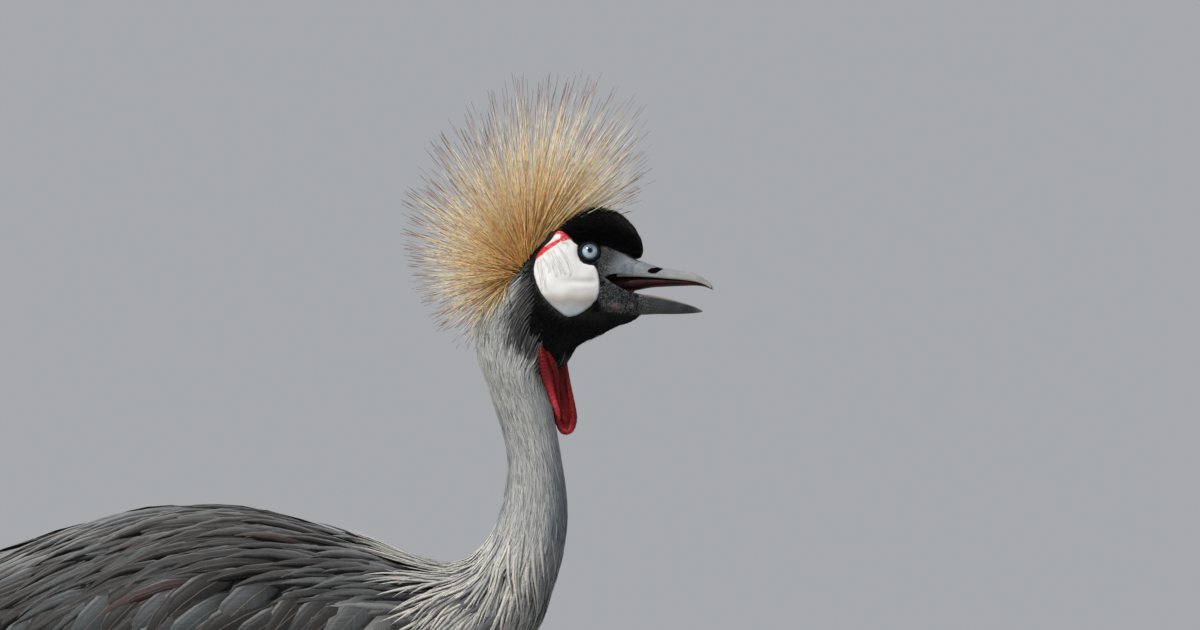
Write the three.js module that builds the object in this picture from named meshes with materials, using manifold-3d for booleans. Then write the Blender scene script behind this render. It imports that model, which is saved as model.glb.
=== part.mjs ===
// Grey crowned crane standing with its bill parted, at life size.
// Millimetres: +X runs towards the bill, +Y to the bird's left, +Z up, and the toes rest on z = 0.
import * as THREE from "three";
import { mergeVertices } from "three/addons/utils/BufferGeometryUtils.js";
import Module from "manifold-3d";

const wasm = await Module();
wasm.setup();

const degrees = THREE.MathUtils.degToRad;
const mix = THREE.MathUtils.lerp;
const smoothstep = THREE.MathUtils.smoothstep;

// Driving dimensions.
const GAP = 0.3; // between pieces that touch
const ASIDE = 140; // beyond the widest part of the bird
const WELD = 0.03; // corners nearer than this become one
const HEAD_ROLL = degrees(-8); // the crown leans away from the bird's right
const ROLL_FROM_Z = 695;
const ROLL_FULL_Z = 775;
const ROLL_AXIS_Z = 760;

// The figure from rump to forehead, each station a back point, a front or belly point and a half width.
const figureStations = [
  { back: [-196, 528], front: [-193, 506], half: 9 },
  { back: [-182, 547], front: [-176, 487], half: 28 },
  { back: [-150, 571], front: [-140, 462], half: 50 },
  { back: [-95, 600], front: [-86, 440], half: 72 },
  { back: [-30, 621], front: [-22, 429], half: 85 },
  { back: [35, 630], front: [48, 429], half: 91 },
  { back: [82, 624], front: [100, 440], half: 89 },
  { back: [117, 613], front: [150, 457], half: 82 },
  { back: [145, 602], front: [190, 478], half: 72 },
  { back: [172, 596], front: [226, 510], half: 60 },
  { back: [191.5, 595], front: [254, 545], half: 47 },
  { back: [204, 601], front: [264, 572], half: 38 },
  { back: [216, 614], front: [271.5, 597], half: 31 },
  { back: [224.3, 632.5], front: [276, 621], half: 27 },
  { back: [229, 652], front: [276, 645.5], half: 24 },
  { back: [231, 674.5], front: [271.6, 677], half: 21.5 },
  { back: [227.4, 694], front: [267.4, 701], half: 20.5 },
  { back: [221, 714], front: [263, 722], half: 21 },
  { back: [213, 737], front: [259, 738], half: 22 },
  { back: [208.3, 751], front: [267, 742], half: 22.5 },
  { back: [206.3, 765], front: [276, 747], half: 22.5 },
  { back: [208, 777], front: [282, 755], half: 22 },
  { back: [216, 793], front: [289, 763], half: 21 },
  { back: [228, 808], front: [302, 769.5], half: 20 },
  { back: [239, 821], front: [315, 776], half: 19.5 },
  { back: [248, 833], front: [326, 780], half: 19 },
  { back: [259, 844], front: [333, 786], half: 18.5 },
  { back: [272, 849], front: [335, 794], half: 17.5 },
  { back: [288, 850], front: [336, 802], half: 16.5 },
  { back: [305, 845], front: [336, 809], half: 14 },
  { back: [320, 835], front: [336, 816], half: 11 },
  { back: [330, 829], front: [336, 822], half: 6.5 },
];
// Where one named length of the figure ends and the next begins, counted in stations.
const TORSO_END = 8.5;
const NECK_BASE_END = 12.5;
const NECK_MIDDLE_END = 16.5;
const NECK_TOP_END = 20.5;
const FIGURE_END = figureStations.length - 1;

// The folded wings' outer surface, from the tip of the flight feathers to the shoulder.
const wingStations = [
  { back: [-388, 476], front: [-386, 466], half: 10 },
  { back: [-340, 509], front: [-334, 450], half: 36 },
  { back: [-279, 547], front: [-270, 438], half: 58 },
  { back: [-217, 579], front: [-206, 432], half: 74 },
  { back: [-156, 604], front: [-146, 428], half: 86 },
  { back: [-95, 625], front: [-85, 425], half: 94 },
  { back: [-34, 639], front: [-22, 424], half: 98 },
  { back: [28, 639], front: [42, 427], half: 98 },
  { back: [75, 629], front: [95, 437], half: 95 },
  { back: [117, 617], front: [150, 455], half: 87 },
  { back: [150, 604], front: [192, 478], half: 75 },
  { back: [176, 594], front: [226, 512], half: 60 },
];

// The black cushion of plush feathers on the forehead.
const cushionStations = [
  { back: [261, 846], front: [263, 836], half: 6 },
  { back: [271, 853], front: [275, 834], half: 13 },
  { back: [283, 862.5], front: [289, 832], half: 16.5 },
  { back: [300, 868], front: [303, 830], half: 17.5 },
  { back: [315, 864.5], front: [316, 828], half: 16 },
  { back: [326, 855.5], front: [326, 827], half: 13 },
  { back: [332.5, 845], front: [332, 827.5], half: 8.5 },
  { back: [334.5, 838], front: [334, 831], half: 3 },
];

// Upper bill: culmen above, cutting edge below, half width at the cutting edge.
const upperBillStations = [
  { back: [320, 830], front: [314, 813.5], half: 9.6 },
  { back: [332, 827], front: [325, 813.8], half: 9.2 },
  { back: [345, 822.8], front: [340, 813.4], half: 7.6 },
  { back: [354, 820.8], front: [351, 812.6], half: 6.6 },
  { back: [367, 819], front: [365, 811.6], half: 5.2 },
  { back: [376, 816], front: [375, 810.2], half: 4 },
  { back: [383, 812], front: [382, 808], half: 2.6 },
  { back: [388.4, 806.6], front: [387.6, 805], half: 0.9 },
];
// The palate's lining hangs below the cutting edge of the upper bill by these depths.
const PALATE_DEPTHS = [5.5, 6, 5.4, 4.4, 3, 1.8, 0.9, 0.3];

// Lower bill: cutting edge above, keel below.
const lowerBillStations = [
  { back: [309, 808], front: [306, 789], half: 9.4 },
  { back: [319, 804], front: [317, 786.5], half: 9 },
  { back: [332, 800.5], front: [331, 785.5], half: 7.8 },
  { back: [345, 799], front: [345, 786], half: 6.6 },
  { back: [358.5, 796], front: [358.5, 786], half: 5 },
  { back: [371.6, 792.2], front: [371.6, 786.6], half: 3.2 },
  { back: [379.4, 788.9], front: [379.6, 787.6], half: 0.9 },
];

const EYE = { x: 293.2, z: 834, y: 9.6, radius: 8.2, ahead: 0.22, upwards: 0.12 };
const LID_RADIUS = 7.3;
const LID_THICKNESS = 1.3;
const LID_ROOM = 1.6;
const NOSTRIL = { x: 343.6, z: 818.6, length: 10.5, height: 3.6, through: 30, slant: degrees(8) };

// The mouth is a wedge from the gape's corner out past the bill's base.
const GAPE = [305, 812];
const mouthOutline = [
  GAPE, [309, 814.3], [314, 815.2], [345, 814.6], [345, 797], [328, 800.5], [319, 803.4], [310.3, 807.9],
];

// Side view of the bare white cheek.
const cheekOutline = [
  [268, 850], [279, 844], [285.8, 839], [286, 830], [296.3, 824], [301.2, 812], [300, 798.8],
  [291, 789], [277.7, 783.8], [262, 794], [252.5, 810], [250.8, 827], [257, 839],
];
const CHEEK_INNER = 4; // the cheeks keep this far off the middle
const CHEEK_DEPTH = 2.4;
const CHEEK_PROUD = 0.7;

// Crest: bristles fan from the hind crown. Directions are measured from +X towards +Z.
const CREST_TURN = [70, 200]; // roots run down the hind crown between these directions
const CREST_STATIONS = [25.75, 23.2]; // and between these places on the figure
const CREST_SINK = 3;
const CREST_ROOT_WIDTH = 11;
const CREST_ROOT_TURN = 0.42; // the bristles' feet reach this far round to each side, in radians
const CREST_BRISTLES = 84;
const CREST_SPREAD = degrees(38);
// How far along a bristle, and its radius there.
const bristleTaper = [[0, 0.85], [0.5, 0.75]];
const crestReach = [
  { angle: 47, length: 120 }, { angle: 58, length: 138 }, { angle: 75, length: 150 },
  { angle: 93, length: 146 }, { angle: 115, length: 138 }, { angle: 140, length: 128 },
  { angle: 165, length: 112 }, { angle: 188, length: 100 }, { angle: 205, length: 98 },
  { angle: 222, length: 88 },
];

// Wattle: a hanging fold of bare red skin with a rolled rim.
const wattleRim = [
  [258.5, 748], [259.8, 738], [263.4, 727], [267.6, 715], [270, 704], [274, 697.5], [279, 698.5],
  [281.3, 706], [280.2, 716], [277.6, 729], [275.6, 741], [274, 750],
];
const WATTLE_RIM_RADII = [1.6, 2.3, 2.5, 2.5, 2.5, 2.6, 2.7, 2.6, 2.4, 2.2, 1.9, 1.5];
const WATTLE_WEB = 1.3;

// Hackles: long flat locks at the foot of the neck, over a bed that lies a little under their tips.
const HACKLE_LENGTH = 62;
const HACKLE_SPREAD = 0.4; // radians round the neck
const HACKLE_THICK = 1.6;
const HACKLE_BED = 3;
const WING_SEAT = 6; // the wings sit this deep in the trunk

// Legs, each from the thigh inside the flank feathers to the foot.
const LEG_Y = 44;
const STRIDE = 22; // the right foot stands this far ahead of the middle, the left as far behind
const legCourse = [
  { x: 40, z: 500, side: 30, deep: 42 },
  { x: 30, z: 455, side: 27, deep: 38 },
  { x: 16, z: 400, side: 19, deep: 27 },
  { x: 2, z: 345, side: 8.6, deep: 11.5 },
  { x: -8, z: 300, side: 5.6, deep: 6.8 },
  { x: -17, z: 250, side: 5.6, deep: 6.8 },
  { x: -21, z: 224, side: 8.4, deep: 10.6 },
  { x: -19, z: 198, side: 6, deep: 7.4 },
  { x: -12, z: 130, side: 4.6, deep: 5.6 },
  { x: -5, z: 60, side: 4.6, deep: 5.4 },
  { x: -1, z: 26, side: 5.8, deep: 6.4 },
];
const THIGH_END = 3;
const SHANK_END = 5.2;
const HOCK_END = 6.8;
const TARSUS_END = 10;
const TARSUS_SCUTES = 8;
const SCUTE_STEP = 0.55;

const TOE_HEIGHT = 8;
const toes = [
  { name: "inner", turn: 32, length: 58, width: 8.6, scutes: 3 },
  { name: "middle", turn: 0, length: 82, width: 9.4, scutes: 4 },
  { name: "outer", turn: -33, length: 66, width: 8.6, scutes: 3 },
  { name: "hind", turn: 172, length: 30, width: 7.6, scutes: 1 },
];
const CLAW_LENGTH = 15;
const HUB_SIZE = [11, 8.5, 16]; // half sizes of the ball where the toes meet
const HUB_HEIGHT = 12.5;

const colours = {
  plumage: 0x8b8e93,
  mantle: 0x63666b,
  hackle: 0xb4b6b7,
  velvet: 0x121213,
  cheek: 0xf0efec,
  bill: 0x8c8f92,
  mouth: 0x4a1d18,
  iris: 0xb9d3e4,
  wattle: 0xc31722,
  crest: 0xd9b06c,
  covert: 0xe9e6dd,
  straw: 0xd8b45c,
  flight: 0x4a231a,
  tail: 0x17171a,
  leg: 0x26262a,
  claw: 0x17171a,
};

// Closed solids from vertices and triangles, turned to face outwards.
function solidFrom(points, triangles) {
  let volume = 0;
  const a = new THREE.Vector3();
  for (const [i, j, k] of triangles) volume += a.copy(points[i]).dot(points[j].clone().cross(points[k]));
  const turned = volume < 0 ? triangles.map(([i, j, k]) => [i, k, j]) : triangles;
  const geometry = new THREE.BufferGeometry().setFromPoints(points).setIndex(turned.flat());
  return solidOf(geometry);
}

function solidOf(geometry) {
  const bare = geometry.clone();
  bare.deleteAttribute("normal");
  bare.deleteAttribute("uv");
  const merged = mergeVertices(bare, 1e-4);
  return new wasm.Manifold(
    new wasm.Mesh({
      numProp: 3,
      vertProperties: new Float32Array(merged.attributes.position.array),
      triVerts: new Uint32Array(merged.index.array),
    }),
  );
}

// Rings of equal count joined into one closed surface with flat ends.
function ringSolid(rings) {
  const sides = rings[0].length;
  const points = rings.flat();
  const triangles = [];
  for (let r = 0; r + 1 < rings.length; r++)
    for (let s = 0; s < sides; s++) {
      const a = r * sides + s;
      const b = r * sides + ((s + 1) % sides);
      triangles.push([a, b, b + sides], [a, b + sides, a + sides]);
    }
  for (const [start, flip] of [[0, true], [(rings.length - 1) * sides, false]]) {
    const centre = new THREE.Vector3();
    for (let s = 0; s < sides; s++) centre.addScaledVector(points[start + s], 1 / sides);
    const middle = points.push(centre) - 1;
    for (let s = 0; s < sides; s++) {
      const edge = [start + s, start + ((s + 1) % sides)];
      triangles.push(flip ? [edge[1], edge[0], middle] : [edge[0], edge[1], middle]);
    }
  }
  return solidFrom(points, triangles);
}

// A body of elliptical sections, each standing between a back point and a front point.
class Loft {
  constructor(stations) {
    const curve = (pick) => new THREE.CatmullRomCurve3(stations.map(pick));
    this.count = stations.length - 1;
    this.back = curve((s) => new THREE.Vector3(s.back[0], 0, s.back[1]));
    this.front = curve((s) => new THREE.Vector3(s.front[0], 0, s.front[1]));
    this.half = curve((s) => new THREE.Vector3(s.half, 0, 0));
  }
  // A surface point: station counts along the body, angle runs from the back round the right side.
  point(station, angle, grow = 0) {
    const t = THREE.MathUtils.clamp(station / this.count, 0, 1);
    const back = this.back.getPoint(t);
    const front = this.front.getPoint(t);
    const along = back.clone().sub(front);
    const reach = along.length() / 2 + grow;
    const centre = back.add(front).multiplyScalar(0.5);
    const p = centre.addScaledVector(along.normalize(), reach * Math.cos(angle));
    p.y -= (this.half.getPoint(t).x + grow) * Math.sin(angle);
    return p;
  }
  // A closed length of the body. Rings always stand at the same stations, so lengths and rooms agree.
  solid(from, to, step, sides, grow = 0) {
    const places = [from];
    for (let place = step * Math.ceil(from / step + 0.2); place < to - step * 0.2; place += step)
      places.push(place);
    places.push(to);
    const turns = Array.from({ length: sides }, (_, s) => (s / sides) * 2 * Math.PI);
    return ringSolid(places.map((place) => turns.map((turn) => this.point(place, turn, grow))));
  }
}

// Feather outlines: how far along, the share of the half width there, and the height over the body.
const TIP_HEIGHT = 0.9;
const LANCE = [[0, 0.35, -6.5], [0.5, 1, -0.9]];
const PADDLE = [[0, 0.4, -6.5], [0.6, 1, -0.6]];
const QUILLED = [[0, 0.4, -6.5], [0.16, 0.8, -2.2], [0.72, 1, 0]];
const HACKLE = [[0, 0.4, -6], [0.45, 1, -0.2]];

// A flat feather from rings of four points (two edges, top and underside) and a tip.
// Its two faces are split into triangles alike.
function flatFeather(rings, tip) {
  const points = [...rings];
  const triangles = [[0, 2, 3], [1, 3, 2]];
  const corners = (r) => [0, 1, 2, 3].map((k) => r * 4 + k);
  const last = rings.length / 4 - 1;
  for (let r = 0; r < last; r++) {
    const [u, l, t, b] = corners(r);
    triangles.push([u, t + 4, t], [u, u + 4, t + 4], [u, b, b + 4], [u, b + 4, u + 4]);
    triangles.push([l, t, t + 4], [l, t + 4, l + 4], [l, b + 4, b], [l, l + 4, b + 4]);
  }
  const end = points.push(tip) - 1;
  const [u, l, t, b] = corners(last);
  triangles.push([u, end, t], [t, end, l], [l, end, b], [b, end, u]);
  return solidFrom(points, triangles);
}

// One flat feather lying rearwards on a body. Its root is sunk, its tip lifted clear of the row behind.
function vane(loft, { station, angle, length, spread, drift = 0, lean = 0, thick = 1.1, shape = LANCE }) {
  const spots = [...shape, [1, 0, TIP_HEIGHT]];
  const rings = [];
  let place = station;
  let before = 0;
  for (const [t, share, height] of spots) {
    const rate = loft.point(place + 0.05, angle).distanceTo(loft.point(place - 0.05, angle)) / 0.1;
    place = Math.max(0.02, place - ((t - before) * length) / rate);
    before = t;
    const turned = angle + drift * t;
    const half = (share * spread) / 2;
    const middle = loft.point(place, turned, height);
    const up = loft.point(place, turned, height + 1).sub(middle);
    rings.push({
      upper: loft.point(place, turned - half, height - lean * share),
      lower: loft.point(place, turned + half, height + lean * share),
      top: middle.clone().addScaledVector(up, thick / 2),
      under: middle.clone().addScaledVector(up, -thick / 2),
      middle,
    });
  }
  const tip = rings.pop().middle;
  return flatFeather(rings.flatMap(({ upper, lower, top, under }) => [upper, lower, top, under]), tip);
}

const figure = new Loft(figureStations);
const wing = new Loft(wingStations);

// A prism of a side-view outline between two depths.
function sidePrism(outline, yLow, yHigh) {
  const shape = new THREE.Shape(outline.map(([x, z]) => new THREE.Vector2(x, z)));
  const geometry = new THREE.ExtrudeGeometry(shape, { depth: yHigh - yLow, bevelEnabled: false });
  geometry.rotateX(Math.PI / 2).translate(0, yHigh, 0);
  return solidOf(geometry);
}

// An outline pushed outwards by an even margin.
function grownOutline(outline, margin) {
  const area = outline.reduce((sum, [x, z], i) => {
    const [nx, nz] = outline[(i + 1) % outline.length];
    return sum + x * nz - nx * z;
  }, 0);
  const side = Math.sign(area) * margin;
  return outline.map(([x, z], i) => {
    const before = new THREE.Vector2(...outline[(i + outline.length - 1) % outline.length]);
    const after = new THREE.Vector2(...outline[(i + 1) % outline.length]);
    const here = new THREE.Vector2(x, z);
    const arrive = here.clone().sub(before).normalize();
    const leave = after.sub(here).normalize();
    const out = new THREE.Vector2(arrive.y + leave.y, -arrive.x - leave.x).normalize();
    const stretch = 1 / Math.max(0.5, out.dot(new THREE.Vector2(arrive.y, -arrive.x)));
    return [x + out.x * side * stretch, z + out.y * side * stretch];
  });
}

function ball(centre, radius, detail = 16) {
  const geometry = new THREE.SphereGeometry(radius, detail, Math.round(detail * 0.6));
  return solidOf(geometry.translate(centre.x, centre.y, centre.z));
}

// A round or oval rod through points, its rings square to the course.
function rod(points, radii, sides, rings) {
  const course = new THREE.CatmullRomCurve3(points);
  const list = [];
  for (let r = 0; r <= rings; r++) {
    const t = r / rings;
    const centre = course.getPoint(t);
    const tangent = course.getTangent(t);
    const across = new THREE.Vector3(0, 1, 0).addScaledVector(tangent, -tangent.y).normalize();
    const other = tangent.clone().cross(across);
    const place = t * (radii.length - 1);
    const low = Math.min(Math.floor(place), radii.length - 2);
    const radius = mix(radii[low], radii[low + 1], place - low);
    list.push(
      Array.from({ length: sides }, (_, s) => {
        const a = (s / sides) * 2 * Math.PI;
        return centre
          .clone()
          .addScaledVector(across, radius * Math.cos(a))
          .addScaledVector(other, radius * Math.sin(a));
      }),
    );
  }
  return ringSolid(list);
}

function largest(solid) {
  return solid.decompose().reduce((best, piece) => (piece.volume() > best.volume() ? piece : best));
}

function union(pieces) {
  return wasm.Manifold.union(pieces);
}

// The head's lean: full at the head, fading out down the neck.
function leaned(x, y, z) {
  const share = smoothstep(z, ROLL_FROM_Z, ROLL_FULL_Z);
  const angle = HEAD_ROLL * share;
  const rise = z - ROLL_AXIS_Z;
  const [cos, sin] = [Math.cos(angle), Math.sin(angle)];
  return [x, y * cos - rise * sin, ROLL_AXIS_Z + y * sin + rise * cos];
}

// Chance with a fixed seed, so that every making is the same.
function chance(seed) {
  let state = seed;
  return (low, high) => {
    state = (state * 1664525 + 1013904223) % 4294967296;
    return mix(low, high, state / 4294967296);
  };
}

const crane = new THREE.Group();

function geometryOf(solid) {
  const mesh = solid.getMesh();
  const geometry = new THREE.BufferGeometry();
  geometry.setAttribute("position", new THREE.BufferAttribute(mesh.vertProperties.slice(), 3));
  geometry.setIndex(new THREE.BufferAttribute(mesh.triVerts.slice(), 1));
  return geometry;
}

// Triangles whose corners are replaced by their keepers, without those that collapse.
function collapsed(index, keeper) {
  const kept = [];
  for (let t = 0; t < index.length; t += 3) {
    const [a, b, c] = [keeper[index[t]], keeper[index[t + 1]], keeper[index[t + 2]]];
    if (a !== b && b !== c && a !== c) kept.push(a, b, c);
  }
  return kept;
}

// Edges that more than two triangles share, where a sliver has folded onto itself.
function pinchedEdges(index) {
  const uses = new Map();
  for (let t = 0; t < index.length; t += 3)
    for (let k = 0; k < 3; k++) {
      const ends = [index[t + k], index[t + ((k + 1) % 3)]].sort((a, b) => a - b);
      const key = ends.join();
      uses.set(key, { ends, count: (uses.get(key)?.count ?? 0) + 1 });
    }
  return [...uses.values()].filter(({ count }) => count > 2).map(({ ends }) => ends);
}

// Corners nearer to each other than WELD become one, and so do the ends of a pinched edge.
function welded(geometry) {
  const at = geometry.attributes.position;
  const corners = Array.from({ length: at.count }, (_, i) => new THREE.Vector3().fromBufferAttribute(at, i));
  const order = corners.map((_, i) => i).sort((a, b) => corners[a].x - corners[b].x);
  const keeper = corners.map((_, i) => i);
  order.forEach((i, rank) => {
    for (let k = rank - 1; k >= 0 && corners[i].x - corners[order[k]].x < WELD; k--)
      if (corners[i].distanceTo(corners[order[k]]) < WELD) keeper[i] = keeper[order[k]];
  });
  let index = collapsed([...geometry.index.array], keeper);
  for (let pinched = pinchedEdges(index); pinched.length; pinched = pinchedEdges(index)) {
    const again = corners.map((_, i) => i);
    again[pinched[0][1]] = pinched[0][0];
    index = collapsed(index, again);
  }
  return geometry.clone().setIndex(index);
}

// The name's one closed body: its largest piece, also after near corners are welded.
function addNode(name, solid, colour, roughness = 0.75) {
  const geometry = geometryOf(largest(solidOf(welded(geometryOf(largest(solid))))));
  const at = geometry.attributes.position;
  for (let i = 0; i < at.count; i++) at.setXYZ(i, ...leaned(at.getX(i), at.getY(i), at.getZ(i)));
  geometry.computeVertexNormals();
  const material = new THREE.MeshStandardMaterial({ color: colour, roughness, metalness: 0 });
  const node = new THREE.Mesh(geometry, material);
  node.name = name;
  crane.add(node);
}

const BILL_ARCH = 6;
const BILL_BULGE = 0.8; // under 1 fills the arch out
const BILL_FLOOR = [-0.55, 0, 0.55]; // shares of the half width

// Half of a bill: an arch between two cutting edges, closed by a floor that sags by the given depths.
function billSolid(stations, depths) {
  const loft = new Loft(stations);
  const rings = [];
  for (let r = 0; r <= loft.count; r++) {
    const t = r / loft.count;
    const ridge = loft.back.getPoint(t);
    const edge = loft.front.getPoint(t);
    const rise = ridge.sub(edge);
    const half = loft.half.getPoint(t).x;
    const ring = [];
    for (let s = 0; s <= BILL_ARCH; s++) {
      const a = mix(-Math.PI / 2, Math.PI / 2, s / BILL_ARCH);
      const spot = edge.clone().addScaledVector(rise, Math.cos(a) ** BILL_BULGE);
      spot.y -= half * Math.sin(a);
      ring.push(spot);
    }
    for (const share of BILL_FLOOR) {
      const sag = rise.clone().normalize().multiplyScalar(-depths[r] * (1 - share * share));
      const spot = edge.clone().add(sag);
      spot.y += half * share;
      ring.push(spot);
    }
    rings.push(ring);
  }
  return ringSolid(rings);
}

const HEAD_SIDES = 12;
const CUSHION_SIDES = 12;
const NECK_SIDES = 18;
const TORSO_SIDES = 16;
const WING_SIDES = 14;
const SEAT_SIDES = 12;
const HEAD_START = { bare: NECK_TOP_END + 0.01, grown: NECK_TOP_END - 0.2 };

function headShape(grow) {
  return figure.solid(grow > 0 ? HEAD_START.grown : HEAD_START.bare, FIGURE_END, 1, HEAD_SIDES, grow);
}

const headCore = headShape(0);
const headGrown = headShape(GAP);

// The crest's root: a slice of the hind crown from which all bristles grow.
const crestRootOutline = [
  [266, 862], [262, 838], [255, 824], [246, 809], [234, 795], [212, 790], [220, 826], [244, 854],
];

function crestRoot(margin) {
  const aside = CREST_ROOT_WIDTH + margin;
  return sidePrism(grownOutline(crestRootOutline, margin), -aside, aside);
}

function crestLength(angle) {
  const place = crestReach.findIndex((c) => c.angle >= angle);
  if (place < 0) return crestReach.at(-1).length;
  if (place === 0) return crestReach[0].length;
  const [low, high] = [crestReach[place - 1], crestReach[place]];
  return mix(low.length, high.length, (angle - low.angle) / (high.angle - low.angle));
}

// One stiff bristle of three sides, a little bowed.
function bristle(root, direction, length, bow) {
  const side = new THREE.Vector3().crossVectors(direction, new THREE.Vector3(0.3, 0.2, 1)).normalize();
  const other = side.clone().cross(direction);
  const spot = (t) => {
    const straight = root.clone().addScaledVector(direction, t * length);
    return straight.addScaledVector(side, bow * t * t * length);
  };
  const rings = bristleTaper.map(([t, radius]) => {
    const centre = spot(t);
    return [0, 1, 2].map((k) => {
      const a = (k / 3) * 2 * Math.PI;
      return centre
        .clone()
        .addScaledVector(side, radius * Math.cos(a))
        .addScaledVector(other, radius * Math.sin(a));
    });
  });
  const points = rings.flat();
  const triangles = [[0, 1, 2]];
  for (let r = 0; r + 1 < rings.length; r++)
    for (let k = 0; k < 3; k++) {
      const [c, d] = [r * 3 + k, r * 3 + ((k + 1) % 3)];
      triangles.push([c, d + 3, d], [c, c + 3, d + 3]);
    }
  const last = (rings.length - 1) * 3;
  const tip = points.push(spot(1)) - 1;
  for (let k = 0; k < 3; k++) triangles.push([last + k, tip, last + ((k + 1) % 3)]);
  return solidFrom(points, triangles);
}

function crestSolid() {
  const draw = chance(11);
  const first = crestReach[0].angle;
  const last = crestReach.at(-1).angle;
  const bristles = [];
  for (let i = 0; i < CREST_BRISTLES; i++) {
    const share = (i + 0.5) / CREST_BRISTLES;
    const across = ((i * 0.618034) % 1) * 2 - 1;
    const angle = mix(first, last, share) + draw(-2, 2);
    const lift = degrees(angle);
    const sideways = across * CREST_SPREAD + draw(-0.03, 0.03);
    const direction = new THREE.Vector3(
      Math.cos(lift) * Math.cos(sideways),
      Math.sin(sideways),
      Math.sin(lift) * Math.cos(sideways),
    );
    const behind = THREE.MathUtils.clamp(THREE.MathUtils.inverseLerp(...CREST_TURN, angle), 0, 1);
    const foot = figure.point(mix(...CREST_STATIONS, behind), -across * CREST_ROOT_TURN, -CREST_SINK);
    const length = crestLength(angle) * (1 - 0.16 * across * across) * draw(0.93, 1);
    bristles.push(bristle(foot, direction, length, draw(-0.05, 0.05)));
  }
  const root = headCore.intersect(crestRoot(0));
  const clear = headShape(CHEEK_PROUD + GAP).subtract(crestRoot(0));
  return union([root, ...bristles]).subtract(clear).subtract(cushionGrown).subtract(neckRoom);
}

const cushionLoft = new Loft(cushionStations);
const cushionGrown = cushionLoft.solid(0, cushionLoft.count, 1, CUSHION_SIDES, GAP);
const neckRoom = figure.solid(NECK_BASE_END, NECK_TOP_END, 1, NECK_SIDES, GAP);

function cheekPrism(margin, side) {
  const outline = grownOutline(cheekOutline, margin);
  return side < 0 ? sidePrism(outline, -ASIDE, -CHEEK_INNER) : sidePrism(outline, CHEEK_INNER, ASIDE);
}

function eyeSolid(side, radius = EYE.radius) {
  return ball({ x: EYE.x, y: side * EYE.y, z: EYE.z }, radius, 10);
}

function lidSolid(side) {
  const geometry = new THREE.TorusGeometry(LID_RADIUS, LID_THICKNESS, 4, 11);
  const eye = new THREE.Vector3(EYE.x, side * EYE.y, EYE.z);
  const outwards = new THREE.Vector3(EYE.ahead, side, EYE.upwards).normalize();
  const turn = new THREE.Quaternion().setFromUnitVectors(new THREE.Vector3(0, 0, 1), outwards);
  geometry.applyQuaternion(turn);
  const depth = Math.sqrt(EYE.radius ** 2 - LID_RADIUS ** 2);
  const centre = eye.addScaledVector(outwards, depth);
  return solidOf(geometry.translate(centre.x, centre.y, centre.z));
}

function buildHead() {
  const mouth = sidePrism(mouthOutline, -ASIDE, ASIDE);
  let head = headCore.subtract(mouth);
  for (const side of [-1, 1]) {
    const pocket = cheekPrism(GAP, side).subtract(headShape(-CHEEK_DEPTH - GAP));
    head = union([head, lidSolid(side)]).subtract(eyeSolid(side, EYE.radius + GAP)).subtract(pocket);
    const shell = headShape(CHEEK_PROUD).subtract(headShape(-CHEEK_DEPTH));
    const grownLid = eyeSolid(side, LID_RADIUS + LID_THICKNESS + LID_ROOM);
    const room = union([grownLid, cushionGrown, crestRoot(GAP)]);
    const cheek = cheekPrism(0, side).intersect(shell).subtract(room);
    const label = side < 0 ? "right" : "left";
    addNode(`cheek_${label}`, cheek, colours.cheek, 0.5);
    addNode(`eye_${label}`, eyeSolid(side), colours.iris, 0.1);
  }
  const billRoom = union([crestRoot(GAP), upperBillGrown, lowerBillGrown, palateGrown]);
  addNode("head", head.subtract(billRoom), colours.velvet, 0.9);
  const cushion = cushionLoft.solid(0, cushionLoft.count, 1, CUSHION_SIDES).subtract(headGrown);
  const lidRooms = [-1, 1].map((side) => eyeSolid(side, LID_RADIUS + LID_THICKNESS + LID_ROOM));
  addNode("forehead_cushion", cushion.subtract(union([...lidRooms, upperBillGrown])), colours.velvet, 0.95);
}

// Stations moved outwards by a margin, for cutting room around a bill.
function grownStations(stations, margin) {
  return stations.map(({ back, front, half }) => {
    const along = new THREE.Vector2(back[0] - front[0], back[1] - front[1]).setLength(margin);
    return {
      back: [back[0] + along.x, back[1] + along.y],
      front: [front[0] - along.x, front[1] - along.y],
      half: half + margin,
    };
  });
}

const flatFloor = (stations) => stations.map(() => 0);
const upperBillGrown = billSolid(grownStations(upperBillStations, GAP), flatFloor(upperBillStations));
const lowerTurned = lowerBillStations.map(({ back, front, half }) => ({ back: front, front: back, half }));
const lowerBillGrown = billSolid(grownStations(lowerTurned, GAP), flatFloor(lowerTurned));

const PALATE_RISE = 0.01; // its upper face is all but flat
const PALATE_SHARE = 0.86; // of the bill's width

// The palate's lining, a sagging strip under the upper bill.
const palateStations = upperBillStations.map(({ back, front, half }) => {
  const along = new THREE.Vector2(back[0] - front[0], back[1] - front[1]).normalize();
  const lowered = [front[0] - along.x * GAP, front[1] - along.y * GAP];
  const flat = [lowered[0] + along.x * PALATE_RISE, lowered[1] + along.y * PALATE_RISE];
  return { back: flat, front: lowered, half: half * PALATE_SHARE };
});
const palateGrown = billSolid(grownStations(palateStations, GAP), PALATE_DEPTHS.map((d) => d + GAP));

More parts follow.
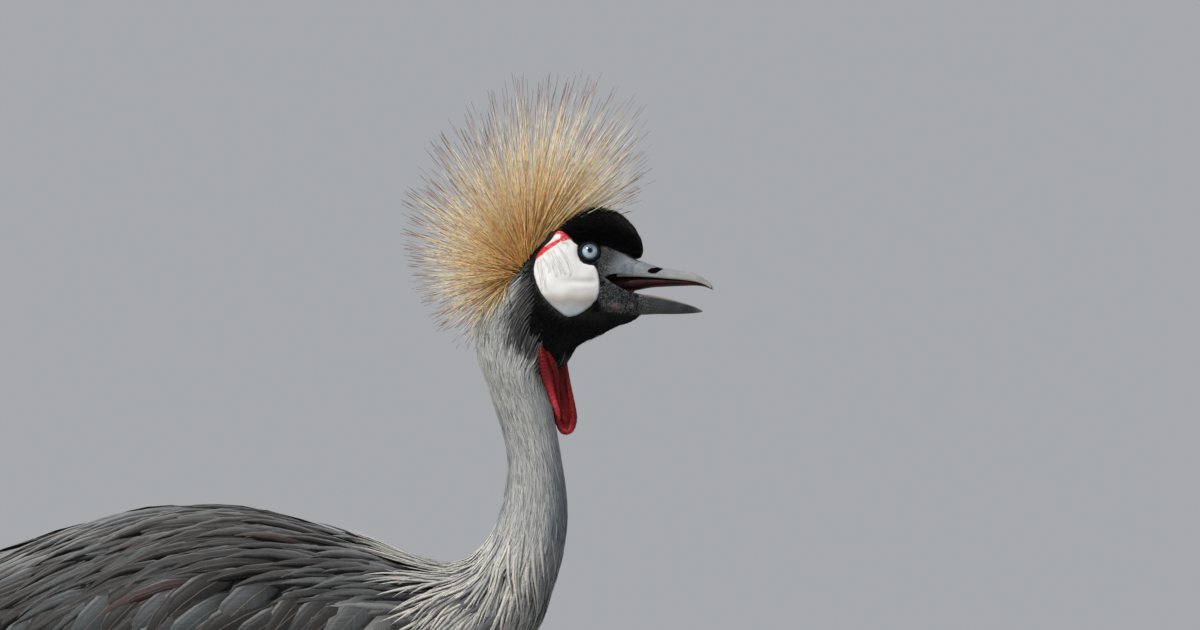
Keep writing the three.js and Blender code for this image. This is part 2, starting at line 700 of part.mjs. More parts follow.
function buildBill() {
  const slot = new THREE.SphereGeometry(1, 14, 8);
  slot.scale(NOSTRIL.length / 2, NOSTRIL.through, NOSTRIL.height / 2);
  const nostril = solidOf(slot.rotateY(NOSTRIL.slant).translate(NOSTRIL.x, 0, NOSTRIL.z));
  const upper = billSolid(upperBillStations, flatFloor(upperBillStations));
  addNode("upper_bill", upper.subtract(nostril), colours.bill, 0.45);
  addNode("palate", billSolid(palateStations, PALATE_DEPTHS), colours.mouth, 0.4);
  const trough = rod(
    [new THREE.Vector3(300, 0, 807), new THREE.Vector3(338, 0, 801), new THREE.Vector3(370, 0, 794.6)],
    [6.4, 4.6, 1], 8, 4,
  );
  addNode("lower_bill", billSolid(lowerTurned, flatFloor(lowerTurned)).subtract(trough), colours.bill, 0.45);
  const tongue = rod(
    [new THREE.Vector3(316, 0, 803), new THREE.Vector3(338, 0, 799.6), new THREE.Vector3(356, 0, 796.6)],
    [2.4, 2.2, 0.6], 6, 4,
  );
  addNode("tongue", tongue, colours.mouth, 0.4);
}

function buildWattle() {
  const outline = wattleRim.map(([x, z]) => new THREE.Vector3(x, 0, z));
  const rim = rod(outline, WATTLE_RIM_RADII, 6, 17);
  const web = sidePrism(wattleRim, -WATTLE_WEB / 2, WATTLE_WEB / 2);
  addNode("gular_wattle", union([rim, web]).subtract(neckRoom).subtract(headGrown), colours.wattle, 0.4);
}

// Long tapered hackles in rings round the foot of the neck, each ring at one station.
function hackles(stations, count, seed) {
  const draw = chance(seed);
  return stations.flatMap((row, r) =>
    Array.from({ length: count }, (_, i) => {
      const angle = ((i + (r % 2) / 2 + draw(-0.12, 0.12)) / count) * 2 * Math.PI;
      const length = HACKLE_LENGTH * draw(0.9, 1.1);
      const station = row + draw(-0.08, 0.08);
      const drift = draw(-0.05, 0.05);
      const lock = { station, angle, length, spread: HACKLE_SPREAD, drift, thick: HACKLE_THICK };
      return vane(figure, { ...lock, shape: HACKLE });
    }),
  );
}

function buildTrunk() {
  const trim = 0.012; // stations, about half the gap
  const saddle = figure.solid(0, NECK_BASE_END, 1, SEAT_SIDES, -WING_SEAT);
  const seat = sidePrism(wingOutline(), -ASIDE, ASIDE).subtract(saddle);
  const torso = figure.solid(0, TORSO_END - trim, 0.5, TORSO_SIDES);
  addNode("torso", torso.subtract(seat), colours.plumage);
  const base = figure.solid(TORSO_END + trim, NECK_BASE_END - trim, 0.5, TORSO_SIDES, -HACKLE_BED);
  const torsoRoom = figure.solid(0, TORSO_END, 0.5, TORSO_SIDES, GAP);
  const baseLocks = hackles([12.1, 11.1, 10.1, 9.2], 10, 31);
  const seatedBase = union([base, ...baseLocks]).subtract(seat).subtract(torsoRoom).subtract(wingRoom);
  addNode("neck_base", seatedBase, colours.hackle);
  const middle = figure.solid(NECK_BASE_END + trim, NECK_MIDDLE_END - trim, 1, NECK_SIDES);
  addNode("neck_middle", middle, colours.hackle);
  const top = figure.solid(NECK_MIDDLE_END + trim, NECK_TOP_END - trim * 2, 1, NECK_SIDES);
  addNode("neck_top", top, colours.hackle);
}

// Side-view regions of a folded wing. Each seam runs between two groups of feathers.
const WING_TOP = 700;
const BACK_END = [-150, 531];
const scapularLine = [[236, 568], [120, 548], [0, 538], [-100, 532], BACK_END];
const bellyLine = [[-96, 449], [0, 448], [100, 452], [170, 464], [206, 488], [222, 530]];
const PLUME_FOOT = [-110, 473];
const PLUME_REAR_FOOT = [-176, 471];
const PLUME_REAR_TOP = [-222, 640];
const FLIGHT_TIP = [-400, 463];
const rearLine = [[-400, 440], [-300, 436], [-200, 438]];
const wingRegions = {
  scapulars: [...scapularLine, [-150, WING_TOP], [236, WING_TOP]],
  coverts: [...scapularLine.slice(0, 4), PLUME_FOOT, ...bellyLine],
  plumes: [scapularLine[3], BACK_END, [-150, WING_TOP], PLUME_REAR_TOP, PLUME_REAR_FOOT, PLUME_FOOT],
  secondaries: [PLUME_REAR_TOP, PLUME_REAR_FOOT, FLIGHT_TIP, [-400, 640]],
  primaries: [PLUME_FOOT, PLUME_REAR_FOOT, FLIGHT_TIP, ...rearLine, bellyLine[0]],
};
const wingColours = {
  scapulars: colours.mantle,
  coverts: colours.covert,
  plumes: colours.straw,
  secondaries: colours.flight,
  primaries: colours.tail,
};
const BED_DEPTH = 4; // the vanes' common bed lies this far under the outer surface
const FLIGHT_SHELL = 10;
const VANE_ROOM = 4; // over the outer surface, whose flats lie up to 2.4 inside it
const LOWEST_ROOT = 452;
const VANE_LEAN = 0.3;

// Each group's feathers: outline, length, and width in radians round the body.
const wingFeathers = {
  scapulars: { shape: LANCE, length: 84, spread: 0.31 },
  coverts: { shape: PADDLE, length: 72, spread: 0.31 },
  plumes: { shape: QUILLED, length: 112, spread: 0.15 },
  secondaries: { shape: QUILLED, length: 132, spread: 0.29 },
  primaries: { shape: QUILLED, length: 118, spread: 0.24 },
};
// Rows of roots as stations from the shoulder back, and how far apart the feathers of a row are.
const wingRows = [10.3, 9.4, 8.5, 7.6, 6.7, 5.8, 4.9].map((station) => ({ station, step: 0.35 }));
const flightRows = [4.3, 3.5, 2.4].map((station) => ({ station, step: 0.33 }));
const LAST_ROW_STRETCH = 1.17; // the last row's feathers run on to the tip

// Both wings together in side view, with room round them.
function wingOutline() {
  const top = [scapularLine[0], [scapularLine[0][0], WING_TOP], [FLIGHT_TIP[0], WING_TOP]];
  return grownOutline([...bellyLine.slice(0, -1), ...top, ...rearLine], GAP * 2);
}

function inside(outline, x, z) {
  let crossings = false;
  outline.forEach(([ax, az], i) => {
    const [bx, bz] = outline[(i + 1) % outline.length];
    if (az > z !== bz > z && x < ax + ((bx - ax) * (z - az)) / (bz - az)) crossings = !crossings;
  });
  return crossings;
}

// Every wing feather of one side, sorted into its group by where its root lies.
function wingVanes(side) {
  const draw = chance(side < 0 ? 5 : 23);
  const groups = Object.fromEntries(Object.keys(wingRegions).map((name) => [name, []]));
  [...wingRows, ...flightRows].forEach(({ station: row, step }, r) => {
    for (let column = step * (r % 2 ? 0.5 : 1); column < 2.6; column += step) {
      const station = row + draw(-0.06, 0.06);
      const angle = side * -(column + draw(-0.015, 0.015));
      const root = wing.point(station, angle);
      const name = Object.keys(wingRegions).find((key) => inside(wingRegions[key], root.x, root.z));
      if (!name || root.z < LOWEST_ROOT) continue;
      const { shape, length, spread } = wingFeathers[name];
      const stretch = row === flightRows.at(-1).station ? LAST_ROW_STRETCH : 1;
      const long = length * draw(0.94, 1.06) * stretch;
      const lean = VANE_LEAN * -side;
      groups[name].push(vane(wing, { station, angle, length: long, spread, lean, shape }));
    }
  });
  return groups;
}

const VANE_HANG = 12; // vanes may hang this far below the wing's lower edge
const wingRoom = wing
  .solid(0, wing.count, 1, WING_SIDES, VANE_ROOM)
  .intersect(sidePrism(grownOutline(wingOutline(), VANE_HANG), -ASIDE, ASIDE));

function buildWings() {
  const bed = wing.solid(0.9, wing.count, 1, WING_SIDES, -BED_DEPTH);
  const bedRoom = wing.solid(0, wing.count, 1, WING_SIDES, GAP - BED_DEPTH);
  const body = figure.solid(0, NECK_BASE_END, 1, SEAT_SIDES, GAP - WING_SEAT);
  const hollow = wing.solid(0.9, wing.count, 1, WING_SIDES, -FLIGHT_SHELL);
  for (const side of [-1, 1]) {
    const groups = wingVanes(side);
    const half = side < 0 ? [-ASIDE, -GAP / 2] : [GAP / 2, ASIDE];
    const halfSpace = sidePrism([[-420, 380], [300, 380], [300, WING_TOP], [-420, WING_TOP]], ...half);
    for (const [name, outline] of Object.entries(wingRegions)) {
      const slab = sidePrism(grownOutline(outline, -GAP / 2), ...half);
      let core = bed.intersect(slab).subtract(body);
      if (["plumes", "secondaries", "primaries"].includes(name)) core = core.subtract(hollow);
      const clear = union([bedRoom.subtract(slab), body, tailRoom]);
      const shell = union([core, ...groups[name]]).intersect(halfSpace).subtract(clear);
      addNode(`${name}_${side < 0 ? "right" : "left"}`, shell, wingColours[name]);
    }
  }
}

// Tail: flat feathers fanned on a short stump, the middle ones uppermost.
const TAIL_ROOT = new THREE.Vector3(-204, 0, 513);
const TAIL_LENGTH = 182;
const TAIL_PITCH = degrees(-21);
const TAIL_FAN = degrees(9);
const TAIL_PAIRS = 5;
const TAIL_STEP = 1; // each feather lies this far under the next
const TAIL_OUTLINE = [[0, 4], [0.16, 8], [0.8, 12]]; // how far along, and the half width there
const TAIL_HALF_THICKNESS = 0.6;

function tailFeather(index) {
  const turn = (index / TAIL_PAIRS) * TAIL_FAN;
  const drop = (2 * Math.abs(index) - (index > 0 ? 1 : 0)) * TAIL_STEP;
  const length = TAIL_LENGTH * (1 - 0.012 * index * index);
  const ahead = new THREE.Vector3(-Math.cos(turn), Math.sin(turn), Math.tan(TAIL_PITCH)).normalize();
  const across = new THREE.Vector3(0, 1, 0).addScaledVector(ahead, -ahead.y).normalize();
  const up = ahead.clone().cross(across).normalize();
  if (up.z < 0) up.negate();
  const root = TAIL_ROOT.clone().addScaledVector(up, -drop).add(new THREE.Vector3(0, index * 1.8, 0));
  const at = (t, side, rise) =>
    root.clone().addScaledVector(ahead, t * length).addScaledVector(across, side).addScaledVector(up, rise);
  const points = TAIL_OUTLINE.flatMap(([t, half]) => {
    const shaft = [at(t, 0, TAIL_HALF_THICKNESS), at(t, 0, -TAIL_HALF_THICKNESS)];
    return [at(t, -half, 0), at(t, half, 0), ...shaft];
  });
  return flatFeather(points, at(1, 0, 0));
}

const tailStations = [
  { back: [-196.5, 524], front: [-194.5, 500], half: 9 },
  { back: [-206, 520], front: [-204, 494], half: 12 },
  { back: [-218, 512], front: [-217, 490], half: 12 },
  { back: [-226, 505], front: [-226, 493], half: 8 },
];
const tailLoft = new Loft(tailStations);
const tailStump = tailLoft.solid(0, tailLoft.count, 1, 8);
const tailFan = Array.from({ length: TAIL_PAIRS * 2 + 1 }, (_, i) => tailFeather(i - TAIL_PAIRS));
const tailRoom = wasm.Manifold.hull([tailLoft.solid(0, tailLoft.count, 1, 8, GAP * 2), ...tailFan]);

function buildTail() {
  addNode("tail", union([tailStump, ...tailFan]), colours.tail);
}

function legLoft(side) {
  const shift = -side * STRIDE;
  const points = legCourse.map(({ x, z }) => {
    const share = smoothstep(520 - z, 0, 520);
    return new THREE.Vector3(x + shift * share, side * LEG_Y, z);
  });
  const course = new THREE.CatmullRomCurve3(points);
  const last = legCourse.length - 1;
  return (from, to, rings, sides, relief = () => 0) => {
    const list = [];
    for (let r = 0; r <= rings; r++) {
      const place = mix(from, to, r / rings);
      const t = place / last;
      const centre = course.getPoint(t);
      const tangent = course.getTangent(t);
      const forward = new THREE.Vector3(1, 0, 0).addScaledVector(tangent, -tangent.x).normalize();
      const across = tangent.clone().cross(forward);
      const low = Math.min(Math.floor(place), last - 1);
      const [a, b] = [legCourse[low], legCourse[low + 1]];
      const blend = smoothstep(place - low, 0, 1);
      const deep = mix(a.deep, b.deep, blend);
      const wide = mix(a.side, b.side, blend);
      list.push(
        Array.from({ length: sides }, (_, s) => {
          const angle = (s / sides) * 2 * Math.PI;
          const extra = Math.max(0, Math.cos(angle)) * relief(r);
          return centre
            .clone()
            .addScaledVector(forward, (deep + extra) * Math.cos(angle))
            .addScaledVector(across, wide * Math.sin(angle));
        }),
      );
    }
    return ringSolid(list);
  };
}

// A toe lying on the floor: flat below, scuted above.
function toeSolid(root, toe) {
  const turn = degrees(toe.turn);
  const ahead = new THREE.Vector3(Math.cos(turn), Math.sin(turn), 0);
  const across = new THREE.Vector3(-Math.sin(turn), Math.cos(turn), 0);
  const rings = [];
  const count = toe.scutes * 2;
  for (let r = 0; r <= count; r++) {
    const t = r / count;
    const centre = root.clone().addScaledVector(ahead, mix(0, toe.length, t)).setZ(0);
    const swell = 1 + 0.1 * Math.sin(t * Math.PI * 3);
    const half = (toe.width / 2) * mix(1, 0.62, t) * swell;
    const height = TOE_HEIGHT * mix(1.15, 0.66, t) * swell + (r % 2 ? SCUTE_STEP : 0);
    const outline = [[-0.7, 0], [0.7, 0], [1, 0.5], [0, 1.05], [-1, 0.5]];
    rings.push(outline.map(([u, v]) => centre.clone().addScaledVector(across, u * half).setZ(v * height)));
  }
  return ringSolid(rings);
}

function clawSolid(root, toe) {
  const turn = degrees(toe.turn);
  const ahead = new THREE.Vector3(Math.cos(turn), Math.sin(turn), 0);
  const start = root.clone().addScaledVector(ahead, toe.length + GAP);
  const at = (reach, height) => start.clone().addScaledVector(ahead, reach).setZ(height);
  const half = (toe.width / 2) * 0.5;
  const arc = [at(0, 3.1), at(CLAW_LENGTH * 0.5, 3.3), at(CLAW_LENGTH, 0.9)];
  return rod(arc, [half, half * 0.75, 0.35], 5, 2);
}

function buildLegs() {
  const torsoRoom = union([figure.solid(0, TORSO_END, 0.5, TORSO_SIDES, GAP), wingRoom]);
  for (const side of [-1, 1]) {
    const label = side < 0 ? "right" : "left";
    const leg = legLoft(side);
    const cut = 0.008;
    addNode(`thigh_${label}`, leg(0, THIGH_END - cut, 6, 12).subtract(torsoRoom), colours.plumage);
    addNode(`shank_${label}`, leg(THIGH_END + cut, SHANK_END - cut, 4, 8), colours.leg, 0.6);
    addNode(`hock_${label}`, leg(SHANK_END + cut, HOCK_END - cut, 4, 8), colours.leg, 0.6);
    const scute = (r) => (r % 2 ? SCUTE_STEP : 0);
    const tarsus = leg(HOCK_END + cut, TARSUS_END - cut, TARSUS_SCUTES * 2, 6, scute);
    addNode(`tarsus_${label}`, tarsus, colours.leg, 0.6);
    const root = new THREE.Vector3(legCourse.at(-1).x - side * STRIDE, side * LEG_Y, 0);
    const hub = new THREE.SphereGeometry(1, 8, 6).scale(...HUB_SIZE);
    hub.translate(root.x + 1, root.y, HUB_HEIGHT);
    const floorBox = solidOf(new THREE.BoxGeometry(400, 400, 60).translate(root.x, root.y, -30));
    const tarsusRoom = solidOf(new THREE.BoxGeometry(80, 80, 80).translate(root.x, root.y, 26 - GAP + 40));
    const fan = toes.map((toe) => ({ ...toe, turn: toe.turn * -side }));
    const foot = union([solidOf(hub), ...fan.map((toe) => toeSolid(root, toe))]);
    addNode(`foot_${label}`, foot.subtract(floorBox).subtract(tarsusRoom), colours.leg, 0.6);
    for (const toe of fan) addNode(`claw_${toe.name}_${label}`, clawSolid(root, toe), colours.claw, 0.5);
  }
}

buildHead();
buildBill();
addNode("crest", crestSolid(), colours.crest);
buildWattle();
buildTrunk();
buildWings();
buildTail();
buildLegs();

// The origin is on the floor under the middle of the whole figure.
const extent = new THREE.Box3().setFromObject(crane);
crane.position.set(-(extent.min.x + extent.max.x) / 2, -(extent.min.y + extent.max.y) / 2, 0);

export default crane;
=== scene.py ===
"""Grey crowned crane standing with its bill parted: skin, feathers, bill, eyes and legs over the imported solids."""
import math
import bpy
import numpy as np
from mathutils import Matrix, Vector
from mathutils.bvhtree import BVHTree


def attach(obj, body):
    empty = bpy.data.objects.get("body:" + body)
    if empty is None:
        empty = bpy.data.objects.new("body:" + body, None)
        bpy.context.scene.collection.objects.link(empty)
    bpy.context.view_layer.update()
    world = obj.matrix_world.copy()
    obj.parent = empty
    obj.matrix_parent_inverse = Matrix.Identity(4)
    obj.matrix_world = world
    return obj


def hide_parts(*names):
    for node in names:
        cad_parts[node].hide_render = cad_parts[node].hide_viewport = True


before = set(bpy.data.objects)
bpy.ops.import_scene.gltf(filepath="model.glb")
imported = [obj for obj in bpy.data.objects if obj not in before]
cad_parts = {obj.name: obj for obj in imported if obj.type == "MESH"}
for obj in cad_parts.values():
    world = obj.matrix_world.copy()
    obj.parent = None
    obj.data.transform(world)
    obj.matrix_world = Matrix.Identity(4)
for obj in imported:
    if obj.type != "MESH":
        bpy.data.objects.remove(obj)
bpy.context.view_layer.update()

# ---- Sizes: millimetres in the tables, metres in the scene -------------------------------------------------
MM = 0.001
ORIGIN = np.array([-0.6026, -2.6808, 0.0])  # the whole bird's middle, moved over the origin
HEAD_ROLL = math.radians(-8)
ROLL_FROM, ROLL_FULL, ROLL_AXIS = 695.0, 775.0, 760.0

# The figure from rump to forehead: back x and z, front or belly x and z, half width.
FIGURE = [
    (-196, 528, -193, 506, 9), (-182, 547, -176, 487, 28), (-150, 571, -140, 462, 50), (-95, 600, -86, 440, 72),
    (-30, 621, -22, 429, 85), (35, 630, 48, 429, 91), (82, 624, 100, 440, 89), (117, 613, 150, 457, 82),
    (145, 602, 190, 478, 72), (172, 596, 226, 510, 60), (191.5, 595, 254, 545, 47), (204, 601, 264, 572, 38),
    (216, 614, 271.5, 597, 31), (224.3, 632.5, 276, 621, 27), (229, 652, 276, 645.5, 24),
    (231, 674.5, 271.6, 677, 21.5), (227.4, 694, 267.4, 701, 20.5), (221, 714, 263, 722, 21),
    (213, 737, 259, 738, 22), (208.3, 751, 267, 742, 22.5), (206.3, 765, 276, 747, 22.5), (208, 777, 282, 755, 22),
    (216, 793, 289, 763, 21), (228, 808, 302, 769.5, 20), (239, 821, 315, 776, 19.5), (248, 833, 326, 780, 19),
    (259, 844, 333, 786, 18.5), (272, 849, 335, 794, 17.5), (288, 850, 336, 802, 16.5), (305, 845, 336, 809, 14),
    (320, 835, 336, 816, 11), (330, 829, 336, 822, 6.5),
]
# The folded wings from the tip of the flight feathers to the shoulder.
WINGS = [
    (-388, 476, -386, 466, 10), (-340, 509, -334, 450, 36), (-279, 547, -270, 438, 58), (-217, 579, -206, 432, 74),
    (-156, 604, -146, 428, 86), (-95, 625, -85, 425, 94), (-34, 639, -22, 424, 98), (28, 639, 42, 427, 98),
    (75, 629, 95, 437, 95), (117, 617, 150, 455, 87), (150, 604, 192, 478, 75), (176, 594, 226, 512, 60),
]
# The plush cushion on the forehead.
CUSHION = [
    (261, 846, 263, 836, 6), (271, 853, 275, 834, 13), (283, 862.5, 289, 832, 16.5), (300, 868, 303, 830, 17.5),
    (315, 864.5, 316, 828, 16), (326, 855.5, 326, 827, 13), (332.5, 845, 332, 827.5, 8.5), (334.5, 838, 334, 831, 3),
]
UPPER_BILL = [
    (320, 830, 314, 813.5, 9.6), (332, 827, 325, 813.8, 9.2), (345, 822.8, 340, 813.4, 7.6),
    (354, 820.8, 351, 812.6, 6.6), (367, 819, 365, 811.6, 5.2), (376, 816, 375, 810.2, 4), (383, 812, 382, 808, 2.6),
    (388.4, 806.6, 387.6, 805, 0.9),
]
PALATE_DEPTHS = [10.4, 10.2, 7, 5.4, 3.8, 2.2, 1, 0.3]
LOWER_BILL = [
    (309, 808, 306, 789, 9.4), (319, 804, 317, 786.5, 9), (332, 800.5, 331, 785.5, 7.8), (345, 799, 345, 786, 6.6),
    (358.5, 796, 358.5, 786, 5), (371.6, 792.2, 371.6, 786.6, 3.2), (379.4, 788.9, 379.6, 787.6, 0.9),
]
EYE_X, EYE_Y, EYE_Z, EYE_RADIUS = 293.2, 9.6, 831.7, 8.2
NOSTRIL = (343.4, 818.6)
NOSTRIL_EDGE = [(337.6, 818), (340.2, 820.3), (344.6, 821), (349.3, 820.6), (346.9, 818.4), (343.8, 816.5),
                (340, 816.5)]
MOUTH = [(305, 812), (309, 814.3), (314, 815.2), (350, 814.6), (350, 797), (328, 800.5), (319, 803.4), (310.3, 807.9)]
CHEEK = [
    (272.2, 849), (275.6, 846.6), (279.5, 842.8), (282.4, 839.3), (285.3, 837.6), (285.1, 833.4),
    (285.3, 829.4), (286.8, 825.9), (289.2, 823.4), (293.1, 822.2), (297, 821.9), (299.5, 818.5),
    (300.9, 813.5), (301.7, 807.5), (301.4, 801), (299.5, 794.6), (295.1, 789.6), (289.2, 785.2),
    (283.4, 782.1), (277.6, 780.9), (273.7, 782.1), (269.8, 785.2), (264.9, 789.1), (260, 794.1),
    (256.1, 799.6), (252.7, 807), (250.5, 815), (250.3, 819.9), (251.3, 824.9), (252.5, 829.9), (255.6, 834.8),
    (260.5, 839.3), (264.9, 842.8), (266.8, 845.7), (268.8, 848.3),
]
WATTLE = [
    (257.5, 752), (258.5, 742), (262.4, 729), (266.9, 716), (269.6, 704), (273.6, 697), (278.8, 698), (281.3, 706),
    (280.2, 716), (277.6, 729), (275.6, 741), (274, 752),
]
# How far a bristle reaches in each direction, counted from ahead upwards and over to the nape.
CREST_REACH = [
    (30, 78), (40, 94), (50, 122), (62, 142), (78, 150), (93, 146), (115, 136), (140, 127), (160, 114), (180, 103),
    (200, 98), (222, 90), (236, 80),
]

SIDES = ((-1, "right"), (1, "left"))  # which way across the bird each side lies

# Side-view outlines of the feather groups of a folded wing.
SCAPULAR_LINE = [(236, 568), (120, 548), (0, 538), (-100, 532), (-150, 531)]
WING_GROUPS = {
    "scapulars": [*SCAPULAR_LINE, (-150, 700), (236, 700)],
    "coverts": [*SCAPULAR_LINE[:4], (-110, 473), (-96, 449), (0, 448), (100, 452), (170, 464), (206, 488), (222, 530)],
    "plumes": [(-100, 532), (-150, 531), (-150, 700), (-222, 640), (-176, 471), (-110, 473)],
    "secondaries": [(-222, 640), (-176, 471), (-400, 463), (-400, 640)],
    "primaries": [(-110, 473), (-176, 471), (-400, 463), (-400, 440), (-300, 436), (-200, 438), (-96, 449)],
}

LEG_Y, STRIDE = 44.0, 22.0
LEG = [  # x, z, half width, half depth
    (40, 500, 30, 42), (30, 455, 27, 38), (16, 400, 19, 27), (2, 345, 8.6, 11.5), (-8, 300, 5.6, 6.8),
    (-17, 250, 5.6, 6.8), (-21, 224, 8.4, 10.6), (-19, 198, 6, 7.4), (-12, 130, 4.6, 5.6), (-5, 60, 4.6, 5.4),
    (-1, 26, 5.8, 6.4),
]
# How far each toe turns from straight ahead, in degrees, its reach and its width.
TOES = [("inner", 32, 58, 8.6), ("middle", 0, 82, 9.4), ("outer", -33, 66, 8.6), ("hind", 172, 30, 7.6)]
TOE_HEIGHT, CLAW_LENGTH = 8.0, 15.0

TURN = 2 * math.pi
draw = np.random.default_rng(20)


def smooth(t):
    t = np.clip(t, 0, 1)
    return t * t * (3 - 2 * t)


def step(low, high, x):
    return smooth((x - low) / (high - low))


def leaned(p, way):
    """Upright millimetres with the head leaning to its left, or back upright where way is -1."""
    share = step(ROLL_FROM, ROLL_FULL, p[..., 2])
    cos, sin = np.cos(HEAD_ROLL * share), way * np.sin(HEAD_ROLL * share)
    rise = p[..., 2] - ROLL_AXIS
    return np.stack([p[..., 0], p[..., 1] * cos - rise * sin, ROLL_AXIS + p[..., 1] * sin + rise * cos], -1)


def settled(p):
    """Places in upright millimetres to the scene's metres."""
    return (leaned(p, 1) + ORIGIN) * MM


def unsettled(p):
    """The scene's metres back to upright millimetres."""
    return leaned(np.asarray(p) / MM - ORIGIN, -1)


def unit(v):
    """Each way at length one."""
    return v / np.maximum(np.linalg.norm(v, axis=-1, keepdims=True), 1e-12)


def inside(outline, x, z):
    """Which places of the side view lie in an outline."""
    hit = np.zeros(np.shape(x), bool)
    for (ax, az), (bx, bz) in zip(outline, outline[1:] + outline[:1]):
        if az != bz:
            hit ^= ((az > z) != (bz > z)) & (x < ax + (bx - ax) * (z - az) / (bz - az))
    return hit


def edge_distance(outline, x, z, closed=True):
    """How far places of the side view are from an outline, in millimetres."""
    best = np.full(np.shape(x), 1e9)
    pairs = zip(outline, outline[1:] + outline[:1]) if closed else zip(outline[:-1], outline[1:])
    for (ax, az), (bx, bz) in pairs:
        length = (bx - ax) ** 2 + (bz - az) ** 2 or 1
        t = np.clip(((x - ax) * (bx - ax) + (z - az) * (bz - az)) / length, 0, 1)
        best = np.minimum(best, np.hypot(x - ax - t * (bx - ax), z - az - t * (bz - az)))
    return best


def between(rows, place):
    """A smooth course through table rows, at places counted in rows."""
    rows = np.asarray(rows, float)
    last = len(rows) - 1
    place = np.clip(place, 0, last)
    low = np.minimum(place.astype(int), last - 1)
    t = (place - low)[..., None]
    a, b, c, d = (rows[np.clip(low + k, 0, last)] for k in (-1, 0, 1, 2))
    return b + t * (c - a) / 2 + t * t * (a - 2.5 * b + 2 * c - d / 2) + t**3 * (1.5 * (b - c) + (d - a) / 2)


class Body:
    """A body of oval sections. s counts its stations; turn runs from the back round the bird's right side."""

    def __init__(self, rows):
        self.rows = rows
        self.last = len(rows) - 1

    def plain(self, s, turn, height=0.0):
        s, turn, height = np.broadcast_arrays(np.asarray(s, float), turn, height)
        back_x, back_z, front_x, front_z, half = np.moveaxis(between(self.rows, s), -1, 0)
        dx, dz = back_x - front_x, back_z - front_z
        length = np.hypot(dx, dz)
        reach = (length / 2 + height) * np.cos(turn) / length
        y = -(half + height) * np.sin(turn)
        return np.stack([(back_x + front_x) / 2 + dx * reach, y, (back_z + front_z) / 2 + dz * reach], -1)

    def point(self, s, turn, height=0.0):
        return settled(self.plain(s, turn, height))

    def rates(self, s, turn):
        """Millimetres for one station along, and for one radian round."""
        e = 0.04
        along = np.linalg.norm(self.plain(s + e, turn) - self.plain(s - e, turn), axis=-1) / (2 * e)
        around = np.linalg.norm(self.plain(s, turn + e) - self.plain(s, turn - e), axis=-1) / (2 * e)
        return np.maximum(along, 4), np.maximum(around, 2)


class Limb(Body):
    """A leg: oval sections along a course, s from the thigh's top down."""

    def __init__(self, side):
        super().__init__(LEG)
        self.side = side

    def plain(self, s, turn, height=0.0):
        s, turn, height = np.broadcast_arrays(np.asarray(s, float), turn, height)
        x, z, wide, deep = np.moveaxis(between(self.rows, s), -1, 0)
        e = 0.05
        after, before = between(self.rows, s + e), between(self.rows, s - e)
        share = [step(0, 520, 520 - v) for v in (z, after[..., 1], before[..., 1])]
        shift = -self.side * STRIDE
        tx = after[..., 0] - before[..., 0] + shift * (share[1] - share[2])
        tz = after[..., 1] - before[..., 1]
        size = np.hypot(tx, tz)
        ahead = (deep + height) * np.cos(turn)
        y = self.side * LEG_Y - (wide + height) * np.sin(turn)
        return np.stack([x + shift * share[0] - ahead * tz / size, y, z + ahead * tx / size], -1)


figure, wings, cushion = Body(FIGURE), Body(WINGS), Body(CUSHION)


# ---- Meshes ------------------------------------------------------------------------------------------------
def piece_of(name, points, faces, material, replaces=(), slot=None, smooth_faces=True):
    """One piece from points and faces, riding on the bird's only body."""
    mesh = bpy.data.meshes.new(name)
    if isinstance(faces, np.ndarray):
        sides = faces.shape[1]
        mesh.vertices.add(len(points))
        mesh.vertices.foreach_set("co", np.asarray(points, np.float32).ravel())
        mesh.loops.add(faces.size)
        mesh.loops.foreach_set("vertex_index", faces.astype(np.int32).ravel())
        mesh.polygons.add(len(faces))
        mesh.polygons.foreach_set("loop_start", np.arange(0, faces.size, sides, dtype=np.int32))
        mesh.update(calc_edges=True)
    else:
        mesh.from_pydata([tuple(p) for p in points], [], faces)
    if smooth_faces:
        mesh.polygons.foreach_set("use_smooth", np.ones(len(mesh.polygons), bool))
    mesh.validate()
    piece = bpy.data.objects.new(name, mesh)
    bpy.context.scene.collection.objects.link(piece)
    mesh.materials.append(material)
    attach(piece, "root")
    if replaces:
        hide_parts(*replaces)
    return piece


def marked(piece, name, values):
    """Keeps one number, or four, for each corner point of a piece."""
    values = np.asarray(values, np.float32)
    kind, key = ("FLOAT_COLOR", "color") if values.ndim == 2 else ("FLOAT", "value")
    piece.data.attributes.new(name, kind, "POINT").data.foreach_set(key, values.ravel())


def mapped(piece, name, uv):
    """A UV map from one place for each corner point."""
    corner = np.empty(len(piece.data.loops), np.int32)
    piece.data.loops.foreach_get("vertex_index", corner)
    piece.data.uv_layers.new(name=name).data.foreach_set("uv", np.asarray(uv, np.float32)[corner].ravel())


def ring_quads(rings, sides):
    """Four-cornered faces between rings of equal count."""
    start, column = np.arange(rings - 1)[:, None] * sides, np.arange(sides)[None]
    a, b = start + column, start + (column + 1) % sides
    return np.stack([a, b, b + sides, a + sides], -1).reshape(-1, 4)


def tube_faces(rings, sides):
    """Faces between rings of equal count, with a cap on each end."""
    caps = [list(range(sides))[::-1], list(range((rings - 1) * sides, rings * sides))]
    return ring_quads(rings, sides).tolist() + caps


def sheet_quads(rows, columns):
    """Faces of an open sheet of points in rows."""
    corner = (np.arange(rows - 1)[:, None] * columns + np.arange(columns - 1)[None]).reshape(-1, 1)
    return corner + [0, 1, columns + 1, columns]


def outwards(points, faces):
    """Turns faces over if the closed surface they make is inside out."""
    volume = sum(
        float(np.dot(points[f[0]], np.cross(points[f[k]], points[f[k + 1]])))
        for f in faces for k in range(1, len(f) - 1)
    )
    return faces if volume > 0 else [f[::-1] for f in faces]


